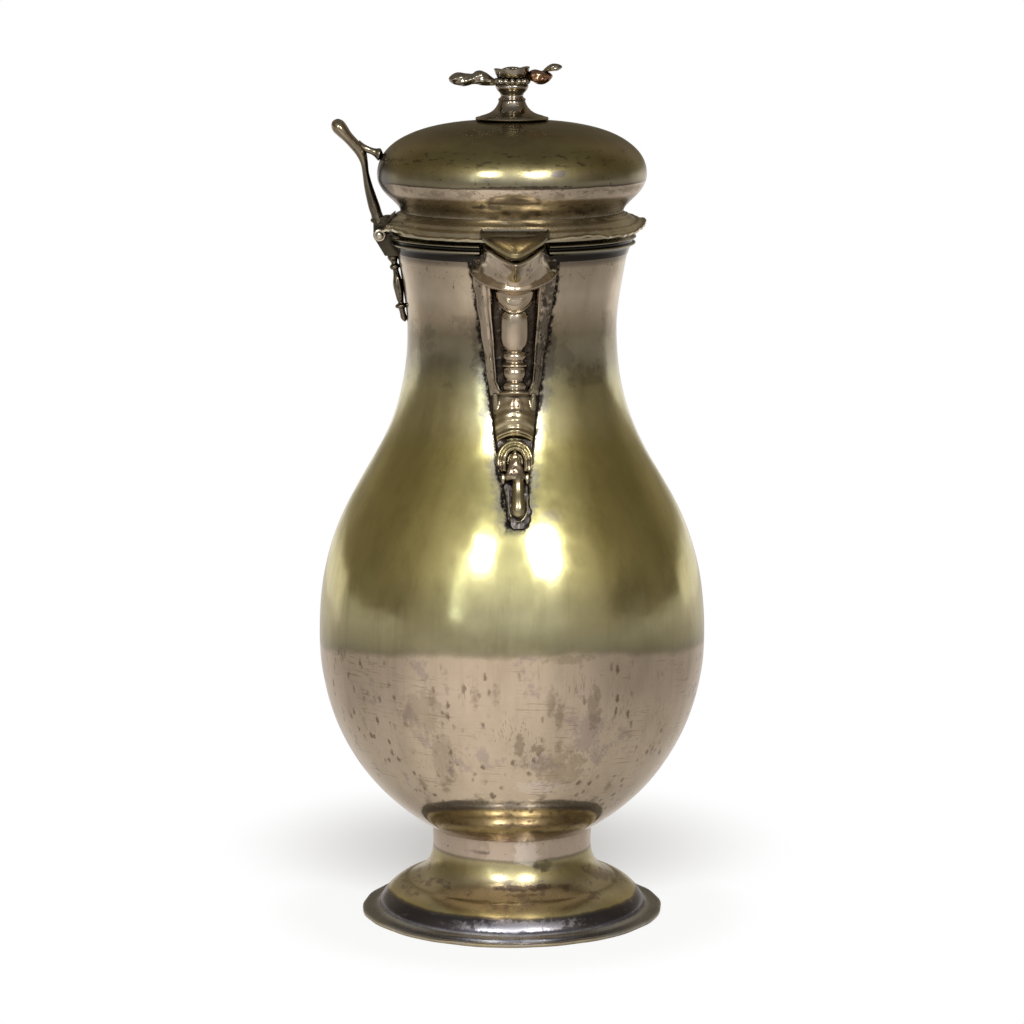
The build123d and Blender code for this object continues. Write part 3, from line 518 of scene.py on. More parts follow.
    # dark in the recesses
    open_sky = n.add("AmbientOcclusion", {"samples": 5}, Distance=reach * MM).outputs["AO"]
    grime = n.times(n.span(open_sky, *hollow, 1, 0), patina)
    grime = n.times(grime, n.span(n.noise(coords, 420, 4), 0.3, 0.6, 0.7, 1))
    base = n.mix(grime, base, dark)

    gloss = n.span(n.noise(coords, 75, 5, 0.65), 0.3, 0.72, *rough)
    if polished:
        gloss = n.times(gloss, n.span(height, (polished - 3) * MM, polished * MM, 0.55, 1))
    gloss = n.madd(grime, 0.25, gloss)
    gloss = n.madd(dirt, 0.15, gloss)
    gloss = n.madd(pit_mask, 0.3, gloss, clamp=True)
    surface = n.madd(pit_mask, -0.9, n.noise(coords, 85, 2))

    # fine crossing scratches
    if scratches:
        across = n.noise(n.stretched((0.05, 0.05, 1), (0.06, -0.04, 0)), 2100, 2, 0.6)
        up = n.noise(n.stretched((1, 1, 0.035), (0.05, 0.05, 0)), 1700, 2, 0.6)
        rubbed = n.noise(coords, 60)
        lines = n.math(
            "MAXIMUM", n.times(n.span(across, 0.56, 0.66), n.span(rubbed, 0.48, 0.62)),
            n.times(n.span(up, 0.56, 0.66), n.span(rubbed, 0.36, 0.52, 1, 0)),
        )
        lines = n.times(lines, band(*scratch_zone, 6))
        base = n.mix(n.times(lines, 0.4 * scratches), base, "77654c")
        gloss = n.madd(lines, 0.08 * scratches, gloss)
        surface = n.madd(lines, -0.1 * scratches, surface)
    bump = n.bump(0.35, relief * MM * 10, surface)
    return n.close(n.add("BsdfPrincipled", i0=base, Metallic=1, Roughness=gloss, Normal=bump))


def dark_wood(name):
    """Oiled hardwood, its grain running along the handle."""
    n = Nodes(bpy.data.materials.new(name))
    wavy = n.noise(n.object_place(), 60)
    grain = n.noise(n.stretched((1, 0.8, 0.09)), 420, 6, 0.62, 0.6)
    rings = n.add(
        "TexWave", {"wave_type": "BANDS", "bands_direction": "X"},
        Vector=n.stretched((1, 0.35, 0.06)), Scale=95, Distortion=5, Detail=3,
    ).outputs["Fac"]
    base = n.mix(n.span(grain, 0.3, 0.72), "2b1710", "5a3320")
    base = n.mix(n.times(rings, 0.35), base, "1d0f0a")
    base = n.mix(n.times(n.span(wavy, 0.5, 0.75), 0.4), base, "6d4329")
    pore = n.span(n.noise(n.stretched((1, 1, 0.05)), 1500, 2), 0.6, 0.72)
    base = n.mix(n.times(pore, 0.5), base, "120906")
    bump = n.bump(0.4, 0.15 * MM, n.minus(n.times(grain, 0.5), pore))
    gloss = n.span(grain, 0.2, 0.8, 0.3, 0.46)
    return n.close(n.add("BsdfPrincipled", i0=base, Roughness=gloss, Normal=bump))


# Partly tarnish, partly painted reflection: pale pinkish silver below about 102 mm, where the metal
# mirrors the pale table, olive-gold above, where it mirrors the dim room, and a darker band on the neck
# near 195 to 205 mm, a painted reflection of the dim room beyond the table's edge.
BODY_ZONES = [
    (20, "ab997e"), (34, "b8a790"), (60, "cdbea7"), (90, "d3c3ae"), (101.8, "cfbfa8"),
    (103.8, "a49c80"), (107, "b4ad88"), (114, "cdc599"), (130, "cfc78e"), (152, "cac184"),
    (168, "c4bb80"), (178, "d6d0a2"), (187, "d4cfa6"), (195, "a39e88"), (205, "948870"),
    (211, "b8a991"), (218, "d3c6b0"), (225, "c6b8a2"), (236, "bfb29c"),
]
# Partly painted light: the pale band from about 250 to 253.5 mm is a painted reflection of the table,
# the olive dome above 254.5 mm partly tarnish and partly a painted reflection of the dim ceiling, and
# the darker zone from about 244 to 249.5 mm painted shade under the dome's swell.
LID_ZONES = [
    (236, "dbd0b6"), (237.6, "cfc4a8"), (238.6, "d0c5aa"), (243, "c6baa2"), (244.4, "b0a48c"),
    (246, "8a7e69"), (248.6, "a0937b"), (249.5, "a0907a"), (250.2, "cbbba6"), (253.5, "cfc0ab"),
    (253.9, "4a4138"), (254.5, "8f8770"), (257, "a39b7f"), (260, "9c9269"), (265, "8e8157"),
    (276, "85784f"),
]
# Partly painted reflection: the light gold below about 1 mm paints the brim's edge mirroring the floor,
# and the olive-gold of the dome from about 8 to 23 mm the dim room it mirrors.
FOOT_ZONES = [
    (0, "c9bb9c"), (0.8, "c3b898"), (1.2, "b9bbbf"), (2.3, "c3c4c6"), (3.2, "605f68"),
    (6.9, "5c5a62"), (7.6, "857b6c"), (8.1, "dccf9a"), (9.6, "d6cba4"), (14, "d6ccb0"),
    (19, "c0b587"), (22.4, "beb289"), (23.4, "938a74"), (24.2, "cbbbaa"), (32, "c2b29f"),
]
# The moulding's zones paint light: the pale bands on the two bead crests are painted highlights, and
# the near-black between and below them is partly tarnish and partly painted shade under the lid's
# flange.
RIM_ZONES = [
    (229.2, "3a3836"), (231.7, "2d2b29"), (232.1, "9d9785"), (232.8, "aca691"), (233.1, "33322d"),
    (234.1, "2d2c28"), (234.4, "9d9785"), (235, "aca691"), (235.3, "3a3933"), (236, "33322e"),
]
raised = silver(
    "raised_silver", BODY_ZONES, wander=2.8, sag=3.9, polished=104, drips=0.68,
    drip_zone=(30, 101), streaks=0.16, scratches=1, scratch_zone=(40, 102), blotches=0.14,
    patina=0.75, halo=1, rough=(0.13, 0.24),
    stains_and_light=[
        (8, 56, 11, 2.8, 0.4, "ddd2c8"), (15, 63, 9, 9, 0.35, "7d6a52"),
        (-31, 82, 8, 9, 0.3, "8a7a63"), (18, 101, 10, 1.6, 0.35, "7d7458"),
        (-24, 66, 4, 12, 0.25, "7d6a55"), (12, 147, 4, 2.5, 0.4, "9d9796"),
        (26, 84, 2.6, 9, 0.4, "75614a"), (1, 72, 1.6, 5, 0.45, "6d5a44"),
        (7, 70, 2.2, 2.4, 0.5, "65523d"),
    ],
    marks=[
        (36, 104, 16, 1.2, 0.58, 0.35, "8f8188"), (106, 180, 9, 1.1, 0.68, 0.5, "857f92"),
        (186, 212, 15, 1.2, 0.5, 0.3, "5c5448"), (205, 229, 3.2, 2.2, 0.66, 0.7, "54452f"),
        # (222, 231) and (226.5, 231) darken the band just under the rim moulding: painted shade under
        # its overhang, the first with fine spots
        (222, 231, 2.6, 0.6, 0.58, 0.45, "4d4740"), (226.5, 231, 6, 0.4, 0.3, 0.6, "5a534b"),
    ],
)
lid_metal = silver(
    "lid_silver", LID_ZONES, wander=0.7, streaks=0.1, blotches=0.2, blotch="5d5236", patina=0.9,
    # the painted shade behind the lever runs from 243 to 265 mm
    reach=2.5, rough=(0.2, 0.32), lever_shade=(243, 265),
    marks=[
        (259.6, 266.5, 4.5, 0.3, 0.55, 0.68, "4b4234"), (250, 261, 2.2, 0.7, 0.6, 0.75, "42382f"),
        # (243, 250) is painted shade under the dome's swell
        (243, 250, 7, 0.3, 0.54, 0.6, "3d362d"), (249.5, 254.5, 6, 0.35, 0.5, 0.5, "7a6f5a"),
        (250, 255, 2.2, 0.5, 0.6, 0.6, "4d443a"), (254.5, 264, 9, 0.6, 0.62, 0.6, "757293"),
        (266, 275, 14, 0.8, 0.5, 0.35, "6d6648"),
    ],
    stains_and_light=[
        # (-8, 247.6) is painted shade under the dome's swell
        (14.5, 258.9, 3, 1.2, 0.55, "66637c"), (-8, 247.6, 7, 0.9, 0.9, "2a2622"),
        (2, 254.6, 16, 0.5, 0.8, "3b332c"),
    ],
)
flap_metal = silver(
    "flap_silver", [(230, "aca07a"), (236.8, "a89c78"), (237.6, "877f70"), (245, "968e7e")],
    wander=1, streaks=0.1, blotches=0.3, blotch="6d6240", reach=1.4, rough=(0.14, 0.26),
    hollow=(0.5, 0.95),
)
foot_metal = silver(
    "foot_silver", FOOT_ZONES, wander=0.9, streaks=0.08, blotches=0.2, blotch="6b5f4a",
    patina=0.8, rough=(0.19, 0.32),
    marks=[
        (8.5, 20, 8, 0.5, 0.54, 0.55, "857572"), (8, 30, 3, 0.5, 0.64, 0.5, "5b4d3b"),
        (2.6, 8.2, 6, 0.4, 0.56, 0.4, "a9a6b0"), (24, 31, 3, 0.5, 0.62, 0.5, "5d5145"),
    ],
    stains_and_light=[
        # (2, 5.4) paints the highlight across the dark band, and (4.5, 27) the pale glow down the stem:
        # painted highlights
        (2, 5.4, 21, 1.9, 0.75, "c9c6cf"), (4.5, 27, 4.5, 6, 0.6, "efe6dc"),
        (-14, 27, 6, 5, 0.35, "6d5f48"), (10, 21.5, 3.6, 2.2, 0.95, "231f22"),
        (15, 20.4, 3.2, 0.9, 0.8, "d3cfca"), (4, 15, 12, 1, 0.75, "6d5a58"),
        (-21, 17.5, 7, 2.6, 0.6, "95877f"), (-12.5, 26.2, 5, 0.7, 0.9, "453d3a"),
        (3, 13.2, 6, 0.5, 0.6, "7d6a50"),
    ],
)
rim_metal = silver(
    "rim_silver", RIM_ZONES, wander=0.05, edge=0.5, streaks=0.1, blotches=0.3, blotch="3d3b36",
    patina=0.5, reach=1, rough=(0.12, 0.24),
)
cast = silver(
    "cast_silver",
    [(140, "aaa07e"), (156, "b0a585"), (163, "bcae98"), (168, "b2a780"), (185, "b5a892"),
     (205, "c3b4a0"), (236, "c9bba6"), (250, "cfc2ac"), (262, "c4b8a2"), (267, "93806a"),
     (270.5, "7a6250"), (275, "8f8472")],
    wander=3, streaks=0.05, pits=0.8, blotch="6d6448", reach=1.5, rough=(0.12, 0.24),
    hollow=(0.42, 0.9), dark="1d1a18",
    stains_and_light=[
        (-13.4, 229, 2.4, 2.8, 0.9, "2b2723"), (13.4, 229, 2.4, 2.8, 0.9, "2b2723"),
        # (11.6, 219) down to (8, 191) are a painted dark reflection on the right border
        (11.6, 219, 2.6, 8, 0.72, "3b342b"), (10.2, 209, 2.4, 9, 0.72, "3b342b"),
        (9, 199, 2.2, 8, 0.7, "3f382f"), (8, 191, 2, 6, 0.6, "453d33"),
        (-11.9, 218, 1.5, 10, 0.35, "4f463a"), (0.4, 182.4, 2.4, 2.6, 0.6, "7d6654"),
        (-0.6, 162.3, 2.6, 3, 0.6, "9a8576"),
    ],
)
beak_metal = silver(
    "beak_silver", [(212, "b8aa92"), (222, "c6b59e"), (230, "c9bba6"), (236, "b5a892")],
    streaks=0.05, pits=0.45, patina=0.7, blotch="7d7050", reach=1.2, rough=(0.1, 0.2),
    hollow=(0.12, 0.6), dark="1d1a18",
    marks=[(214, 236, 5, 1, 0.6, 0.5, "6d6a75")],
)
ground = silver(
    "cast_ground",
    [(140, "57524f"), (158, "565050"), (172, "4d4642"), (200, "554b40"), (236, "4a4238")],
    wander=4, streaks=0.1, pits=1, blotches=0.7, blotch="2b2622", reach=2.2, rough=(0.22, 0.4),
    hollow=(0.5, 0.95), dark="1b1817", relief=0.05,
    marks=[(140, 236, 2, 1.3, 0.6, 0.7, "a39b94")],
)
# painted shade: the hinge leaves are coloured dark for their tarnish and for the shade they sit in
leaf_metal = silver(
    "hinge_painted_shade", [(200, "6b6355"), (240, "575043")], pits=0.7, blotches=0.5, blotch="2b2722",
    reach=1.8, hollow=(0.5, 0.95), rough=(0.2, 0.34),
)
finial_metal = silver(
    "finial_silver",
    [(268, "8f866f"), (274.2, "b5ab94"), (275, "847b66"), (279, "9a9184"), (284, "a8a096"),
     (292, "9a9386")],
    wander=0.3, pits=0.5, blotches=0.35, reach=1.3, hollow=(0.42, 0.92), rough=(0.1, 0.2),
)
# the petal's copper tone is a painted reflection on the silver
petal_metal = silver(
    "finial_petal_reflection", [(280, "a0755a"), (292, "b08d74")], wander=1.5, pits=0.6, blotches=0.3,
    reach=1.3, hollow=(0.42, 0.92),
)
hinge_metal = silver(
    "hinge_silver", [(200, "8d8474"), (236, "7d7566"), (275, "a89c86")], pits=0.7, blotches=0.5,
    blotch="3b352c", reach=1.5, hollow=(0.45, 0.92), rough=(0.1, 0.22),
)
pin_metal = silver(
    "pin_silver", [(0, "d5ccbb"), (300, "d5ccbb")], patina=0.9, blotches=0.1, reach=0.9,
)
wood = dark_wood("handle_wood")


def casting(name, shape, *nodes, material=cast, body="pot"):
    """Piece of cast silver."""
    piece(name, shape, material, body, nodes)


def finial_piece(name, shape, *nodes, material=finial_metal, sharp=CAST_SHARP):
    piece(name, shape, material, "finial", nodes, sharp)


# ---- body
COLUMNS = 288
NOTCH_COLUMNS = 11  # each side of the middle of the spout's opening
NOTCH_FLOOR_Z = 212.8


def notch_angle(z):
    """Half angle of the columns that make the spout's opening at height z."""
    plain = 2 * pi * NOTCH_COLUMNS / COLUMNS
    return between(
        [(198, plain), (NOTCH_FLOOR_Z, 0.068), (219.3, 0.165), (227.5, 0.262), (RIM_Z, 0.235)], z
    )


def body_row(r, z):
    row = []
    edge = notch_angle(z)
    for j in range(COLUMNS):
        k = j if j <= COLUMNS // 2 else j - COLUMNS
        side = 1 if k >= 0 else -1
        if abs(k) <= NOTCH_COLUMNS:
            turn = edge * k / NOTCH_COLUMNS
        else:
            share = (abs(k) - NOTCH_COLUMNS) / (COLUMNS / 2 - NOTCH_COLUMNS)
            turn = side * (edge + share * (pi - edge))
        angle = turn - pi / 2
        point = polar(r, angle, z)
        uneven = dent(point, 17, 0.16) + dent(point, 7, 0.05)
        uneven *= smooth(24, 34, z) * smooth(RIM_Z, RIM_Z - 6, z)
        row.append(polar(r + uneven, angle, z))
    return row


STEPS = (10, 46, 60, 30)
outer = sample(body_curves(0), STEPS)
inner = sample(body_curves(-WALL), STEPS)
outer_rows = [body_row(r, z) for r, z in outer]
inner_rows = [body_row(r, z) for r, z in inner]


def body_cell(i, j):
    side = min(j, COLUMNS - 1 - j)
    return not (side < NOTCH_COLUMNS and outer[i][1] >= NOTCH_FLOOR_Z)


piece(
    "pot_body", sheet(outer_rows, inner_rows, keep=body_cell), raised, "pot",
    ["body_shell"], SHEET_SHARP,
)

# ---- foot
STEM_TOP = [(27.55, 31.4), (27.4, 28)]
FOOT_STEPS = (22, 22)
foot_outer = STEM_TOP + sample(foot_curves(0), FOOT_STEPS) + [(45.95, 2.6), (46, 1.5)]
foot_inner = [(r - WALL, z) for r, z in STEM_TOP] + sample(foot_curves(-WALL), FOOT_STEPS)
foot_inner += [(44.95, 2.6), (44.9, 1.5)]


def round_rows(profile, uneven):
    """Rows of points round Z for sheet, with hand-raised unevenness."""
    return [
        [polar(r + dent(polar(r, angle, z), 11, uneven), angle, z) for angle in turns(256)]
        for r, z in profile
    ]


piece(
    "pot_foot", sheet(round_rows(foot_outer, 0.14), round_rows(foot_inner, 0.14)), foot_metal,
    "pot", ["foot_dome"], SHEET_SHARP,
)


def brim_shape(r, z, angle):
    """The brim's outer edge is cut and beaten by hand."""
    edge = smooth(46, 52, r)
    rr = r + edge * (0.35 * round_noise(angle, 3, 4) + 0.1 * sin(23 * angle))
    return rr, z + edge * smooth(0, 0.5, z) * 0.3 * round_noise(angle, 4, 9)



brim = [
    (44, 0), (51.3, 0), (51.85, 0.25), (52, 0.7), (51.9, 1.15), (51.5, 1.45), (50.6, 1.5),
    (48.5, 1.55), (47.2, 1.75), (46.5, 2.2), (46, 2.5), (45.2, 2.3), (44, 1.9),
]
piece(
    "foot_rim", lathe(brim, 256, shape=brim_shape), foot_metal, "pot",
    ["foot_brim"], SHEET_SHARP,
)


def seam_shape(r, z, angle):
    return r + 0.2 * round_noise(angle, 6, 1), z


seam = [(28 + 0.42 * cos(a), 31 + 0.34 * sin(a)) for a in turns(8)]
piece(
    "foot_seam", lathe(seam, 200, shape=seam_shape), foot_metal, "pot",
    sharp=SHEET_SHARP,
)

# ---- rim moulding
moulding = [
    (39.9, 235.7), (40.9, 235.75), (41.25, 235.5), (41.5, 235.2), (41.95, 235), (42.1, 234.7),
    (41.95, 234.4), (41.45, 234.2), (40.9, 233.9), (40.85, 233.4), (41.3, 233.1), (41.8, 232.9),
    (41.9, 232.6), (41.75, 232.3), (41.2, 232.1), (40.5, 231.8), (40, 231.2), (39.7, 230.4),
    (39.5, 229.8), (39.35, 229.3), (38.5, 229.2), (38.6, 232),
]
FRONT = -pi / 2
BAND_R = 41
spout_gap, hinge_gap = asin(11.4 / BAND_R), asin(7.25 / BAND_R)
piece(
    "rim_bands",
    merge(
        arc_bar(moulding, FRONT + spout_gap, pi - hinge_gap, 200),
        arc_bar(moulding, pi + hinge_gap, 2 * pi + FRONT - spout_gap, 64),
    ),
    rim_metal, "pot", ["rim_moulding"], sharp=50,
)

# ---- spout
LIP_FALL = 4.8 / 18.6
BEAK_BACK = -33


def beak_plan(u, half_width, reach, nose):
    """Point of the beak's plan at u from -1 (left, in the neck) over 0 (nose) to 1."""
    side = 1 if u >= 0 else -1
    t = 1 - abs(u)
    nose_y = -reach
    side_y = 0.42 * nose_y + 0.58 * BEAK_BACK
    curve = [(half_width, BEAK_BACK), (half_width, side_y), (nose, nose_y), (0, nose_y)]
    x, y = bezier(curve, t)
    return side * x, y


# rows down the beak: share of the way from lip to edge, half width, reach, nose half width
BEAK_ROWS = [
    (0, 11.3, 58.6, 1.6), (0.04, 11.6, 58.9, 1.8), (0.1, 11.8, 58.3, 2),
    (0.25, 12.1, 56.2, 2.2), (0.45, 12.5, 53.5, 2.6), (0.62, 13.1, 51.2, 3.2),
    (0.76, 13.8, 49.6, 4), (0.86, 14.4, 49.2, 4.8), (0.93, 15, 49.5, 5.2), (0.98, 15.1, 49.3, 5.2),
    (1.02, 14.5, 48, 4.8), (1.06, 12.8, 45.8, 4), (1.15, 10.4, 43.9, 3.2), (1.23, 8.4, 42.2, 2.6),
    (1.5, 5, 39.5, 2),
]
BEAK_STEPS = 72
BEAK_EDGE_Z, BEAK_EDGE_FALL = 227.6, 6.9  # the beak's lower edge dips to its middle
BEAK_TAIL_FALL, BEAK_FLOOR_Z = 16, 214


def beak_rows(inset):
    rows = []
    for share, half_width, reach, nose in through(BEAK_ROWS, 4):
        row = []
        for k in range(BEAK_STEPS + 1):
            u = -1 + 2 * k / BEAK_STEPS
            x, y = beak_plan(u, half_width - inset, reach - inset, max(nose - inset * 0.5, 0.4))
            lip = RIM_Z - 0.3 - LIP_FALL * max(-y - RIM_R, 0)
            edge = BEAK_EDGE_Z - BEAK_EDGE_FALL * (1 - abs(u) ** 2.2)
            z = lip + (edge - lip) * min(share, 1) - max(share - 1, 0) * BEAK_TAIL_FALL
            if inset:
                z = max(z, BEAK_FLOOR_Z)
            else:
                crease = 0.12 * exp(-(u / 0.12) ** 2) * smooth(0.05, 0.3, share)
                y += crease * smooth(1, 0.8, share) + dent((x, y, z), 4, 0.5) * smooth(0.05, 0.2, share)
            row.append((x, y, z))
        rows.append(row)
    return rows


beak = sheet(beak_rows(0), beak_rows(1.2), wrap=False)
bowl = wall_tube(
    [
        (222, 7, 6, 1.2), (219.4, 6.9, 6.4, 1.2), (217.2, 6.7, 7.2, 1), (215.6, 6.4, 7.3, 0.8),
        (214.9, 5.8, 6.9, 0.6), (214.6, 6.2, 7.2, 0.6), (214.2, 6.1, 7.1, 0.6),
        (213.8, 5.2, 6.4, 0.6), (213.2, 3.8, 4.8, 0.6),
    ],
    steps=6, lift=3,
)
casting("spout_cup", merge(beak, bowl), "spout_beak", material=beak_metal)

PLATE_LOW, PLATE_HIGH = 143.2, 229.6
PLATE_WIDTH = [
    (PLATE_LOW, 2), (144.2, 3.3), (147, 4.3), (150, 4), (156, 4.3), (160, 5), (164, 5.9), (168, 6.4),
    (174, 7.2), (184, 8.4), (196, 9.8), (206, 11.3), (216, 13), (224, 14.2), (230, 14.6),
]


def plate_height(x, z, half):
    """How far the back plate stands off the wall: a pitted ground with a soft edge."""
    edge = smooth(1, 0.86, abs(x) / half)
    rough = dent((x, 0, z), 1.3, 0.28) + dent((x, 5, z), 3.2, 0.25)
    return 0.15 + edge * (0.95 + rough)


def wall_patch(z_low, z_high, rows, cols, half_width, height, middle=lambda z: 0):
    """Relief on the wall between two heights; half_width(z) and height(x, z, half) shape it."""
    top, base = [], []
    for i in range(rows + 1):
        z = z_low + (z_high - z_low) * i / rows
        half = half_width(z)
        xs = [middle(z) + half * (-1 + 2 * k / cols) for k in range(cols + 1)]
        top.append([on_wall(x, z, height(x - middle(z), z, half)) for x in xs])
        base.append([on_wall(x, z, -0.5) for x in xs])
    return sheet(top, base, wrap=False)


def ragged_half(z):
    return between(PLATE_WIDTH, z) + 0.7 * noise.noise((z / 1.7, 3, 0)) * smooth(175, 150, z)


def tail_lean(z):
    """The plate's tail bends a little to the right."""
    return 1.2 * smooth(160, 146, z) + 0.3 * noise.noise((z / 2, 8, 0)) * smooth(175, 150, z)


casting(
    "spout_ground",
    wall_patch(PLATE_LOW, PLATE_HIGH, 170, 44, ragged_half, plate_height, tail_lean),
    "spout_backplate", material=ground,
)

RAIL_SECTION = [
    (0, 0.3), (0.07, 1.3), (0.62, 3.1), (0.7, 3.3), (0.75, 2.85), (0.8, 3.15), (0.88, 3.25),
    (0.94, 2.6), (1, 0.6),
]


def rail_inner(z):
    """Inner edge of the border, which turns in under the lowest bead."""
    return between(
        [(185, 0.4), (185.8, 2.6), (187, 4.2), (190, 5.2), (200, 5.7), (214, 6.5),
         (PLATE_HIGH, 7.2)], z
    )


def rail(side):
    """Raised border of the spout's plate on one side: a sloping face with fine ridges."""
    def half(z):
        return 0.5 * (between(PLATE_WIDTH, z) - 0.3 - rail_inner(z))

    def middle(z):
        return side * 0.5 * (between(PLATE_WIDTH, z) - 0.3 + rail_inner(z))

    def height(x, z, half_width):
        share = (1 - side * x / half_width) / 2
        top = smooth(230.5, 227, z)
        return (between(RAIL_SECTION, share) + dent((x, side, z), 4, 0.45)) * (0.3 + 0.7 * top)

    return wall_patch(185, 230.5, 120, 34, half, height, middle)


casting("spout_borders", merge(rail(1), rail(-1)), "spout_rails")

PROUD = 2.5  # the turned pieces stand this far off the wall
COLUMN = [
    (215.2, 1.6), (214.8, 2.7), (213.9, 3.8), (212.4, 4.4), (209.5, 4.7), (205, 4.7), (202.4, 4.3),
    (201, 3.6), (200.2, 3.1), (199.6, 2.9),
]
KNOPS = [
    (200.6, 2.5), (200, 3.1), (198.9, 3.9), (197.8, 4), (196.9, 3.5), (196.3, 3.3), (195.9, 3.7),
    (195.4, 4.4), (194.9, 4.5), (194.4, 4), (193.8, 3.7), (192.4, 3.9), (191.2, 3.6), (190.3, 3.1),
    (189.7, 3.1), (189, 3.7), (188, 4.1), (187.1, 3.9), (186.6, 4.1), (186.2, 4.9), (185.7, 5.2),
    (185.2, 5), (184.8, 4.2),
]
BELL_SWELL = [
    (168, 0.9), (171, 1.4), (171.8, 3.2), (172.8, 4.2), (174, 3.7), (175, 3.8), (176.4, 4.4),
    (178.4, 4.1), (181, 3.5), (184, 3.1), (187, 3), (190, 3),
]


def bell_height(x, z, half):
    """Rounded face whose folds arch down to both sides, between the ends of the borders."""
    swell = between(BELL_SWELL, z + 0.05 * x**2)
    fall = 0.5 * (sqrt(x**2 + 4) - 2)
    border = 2.5 * smooth(172, 186, z) * exp(-(((abs(x) / half) - 0.74) / 0.17) ** 2)
    full = max(swell - fall, 0.5, border) * smooth(1, 0.9, abs(x) / half)
    return full + 0.3 + dent((x, 2, z), 2.6, 0.2)


bell = wall_patch(168.2, 185.4, 100, 52, lambda z: between(PLATE_WIDTH, z) - 0.5, bell_height)
casting("spout_pillar", wall_tube([(z, r, r, PROUD) for z, r in COLUMN]), "spout_column")
casting("spout_beads", wall_tube([(z, r, r, PROUD) for z, r in KNOPS], steps=4), "spout_knops")
casting("spout_skirt", bell, "spout_bell")

ARCH_Z = 163.4  # where the arches spring from
ARCH_LINES = [
    (0, 2.2), (2.4, 2.2), (3, 3.5), (3.5, 3.8), (4.1, 3.1), (4.5, 3), (5, 3.7), (5.5, 3.6),
    (6, 2.2), (6.5, 0.8), (7, 0.3),
]


def shell_height(x, z, half):
    """Two nested arches over a plain hollow."""
    reach = hypot(x, (z - ARCH_Z) * 0.86) if z > ARCH_Z else abs(x)
    return between(ARCH_LINES, reach) + dent((x, 1, z), 2.2, 0.35)


def shell_half(z):
    if z > ARCH_Z:
        return 6.2 * sqrt(max(1 - ((z - ARCH_Z) / 7.6) ** 2, 0.02))
    return between([(160, 4.3), (ARCH_Z, 6.2)], z)


casting("spout_arches", wall_patch(160, 170.9, 56, 60, shell_half, shell_height), "spout_shell")


def leaf_half(z):
    return between([(157.4, 3.2), (158.6, 4.2), (160.2, 3.6), (163, 2.4), (166.6, 0.9)], z)


def leaf_height(x, z, half):
    share = abs(x) / half
    crown = (3.2 - 2 * share ** 2.2) * smooth(1, 0.86, share)
    return 0.8 + crown + dent((x, 9, z), 1.6, 0.35)


leaf = wall_patch(157.4, 166.8, 40, 24, leaf_half, leaf_height)
drop = wall_tube([
    (160, 1.4, 1.5, 2), (158.6, 1.8, 2, 2.1), (156.5, 1.95, 2.3, 2.1), (153.5, 1.95, 2.2, 1.9),
    (150.8, 2.25, 2.4, 1.9), (148.6, 2.3, 2.3, 1.8), (147, 1.7, 1.7, 1.6), (146.4, 0.8, 0.8, 1.5),
], x=0.9)
volutes = [
    wall_tube([
        (160, 0.3, 0.4, 1.9), (159.2, 0.75, 0.8, 2.1), (158.3, 0.9, 0.8, 2.1),
        (157.3, 0.65, 0.7, 1.9), (156.6, 0.3, 0.3, 1.7),
    ], x=x, count=20)
    for x in (-3.8, 3.8)
]


def wall_wire(path, thickness, azimuth=-90):
    """Fine wire along (x, z, proud) points on the wall."""
    points = [Vector(on_wall(*p, azimuth)) for p in through(path, 6)]
    rings = []
    for a, b, c in zip([points[0]] + points, points, points[1:] + [points[-1]]):
        along = (c - a).normalized()
        out = Vector((b.x, b.y, 0)).normalized()
        rings.append(ring(b, along.cross(out), out, thickness, thickness, 10))
    return tube(rings)


edge_wire = wall_wire(
    [(-2.4, 156.4, 0.9), (-2.1, 151, 0.9), (-1.9, 148.3, 0.9), (-0.8, 146.2, 0.9), (0.9, 145.4, 0.9),
     (2.5, 146.2, 0.9), (3.7, 148.3, 0.9), (3.9, 151, 0.9), (3.7, 156.4, 0.9)],
    0.3,
)
casting("spout_pendant", merge(leaf, drop, edge_wire, *volutes), "spout_drop")

# ---- lid
LID_STEPS = (22, 46)
LID_WALL = 0.9
flat_top = [(r, LID_SEAT_Z) for r in (10.5, 8.5, 6.5)]
lid_outer = sample(lid_curves(0), LID_STEPS) + flat_top
lid_inner = sample(lid_curves(-LID_WALL), LID_STEPS) + [(r, z - LID_WALL) for r, z in flat_top]
piece(
    "lid_bowl", sheet(round_rows(lid_outer, 0.15), round_rows(lid_inner, 0.15)), lid_metal, "lid",
    ["lid_dome"], SHEET_SHARP,
)

FLANGE_IN, FLANGE_OUT = 36.65, 45.3
FLANGE_STEPS = 24
FLANGE_LINE = [
    (36.6, 242.65), (37.6, 243.2), (38.2, 243), (38.6, 242.3), (39.2, 242.4), (39.8, 241.7),
    (42.5, 239.4), (44.6, 237.5), (46.2, 236.9),
]
HINGE_CUT_HALF, HINGE_CUT_R = 8.7, 41.9  # the flange is cut out for the hinge
FLANGE_COLUMNS = 320


def flange_lift(angle):
    """How far the flange's edge is bent up at an azimuth."""
    def bump(centre, width):
        off = (angle - radians(centre) + pi) % (2 * pi) - pi
        return exp(-(off / radians(width)) ** 2)

    wave = 0.4 * round_noise(angle, 5.5, 2) + 0.35 * round_noise(angle, 16, 5)
    wave *= 1 - bump(180, 20)
    return 3 * bump(4, 22) + 3.4 * bump(36, 16) + 1.5 * bump(208, 11) + 0.8 * bump(300, 12) + wave


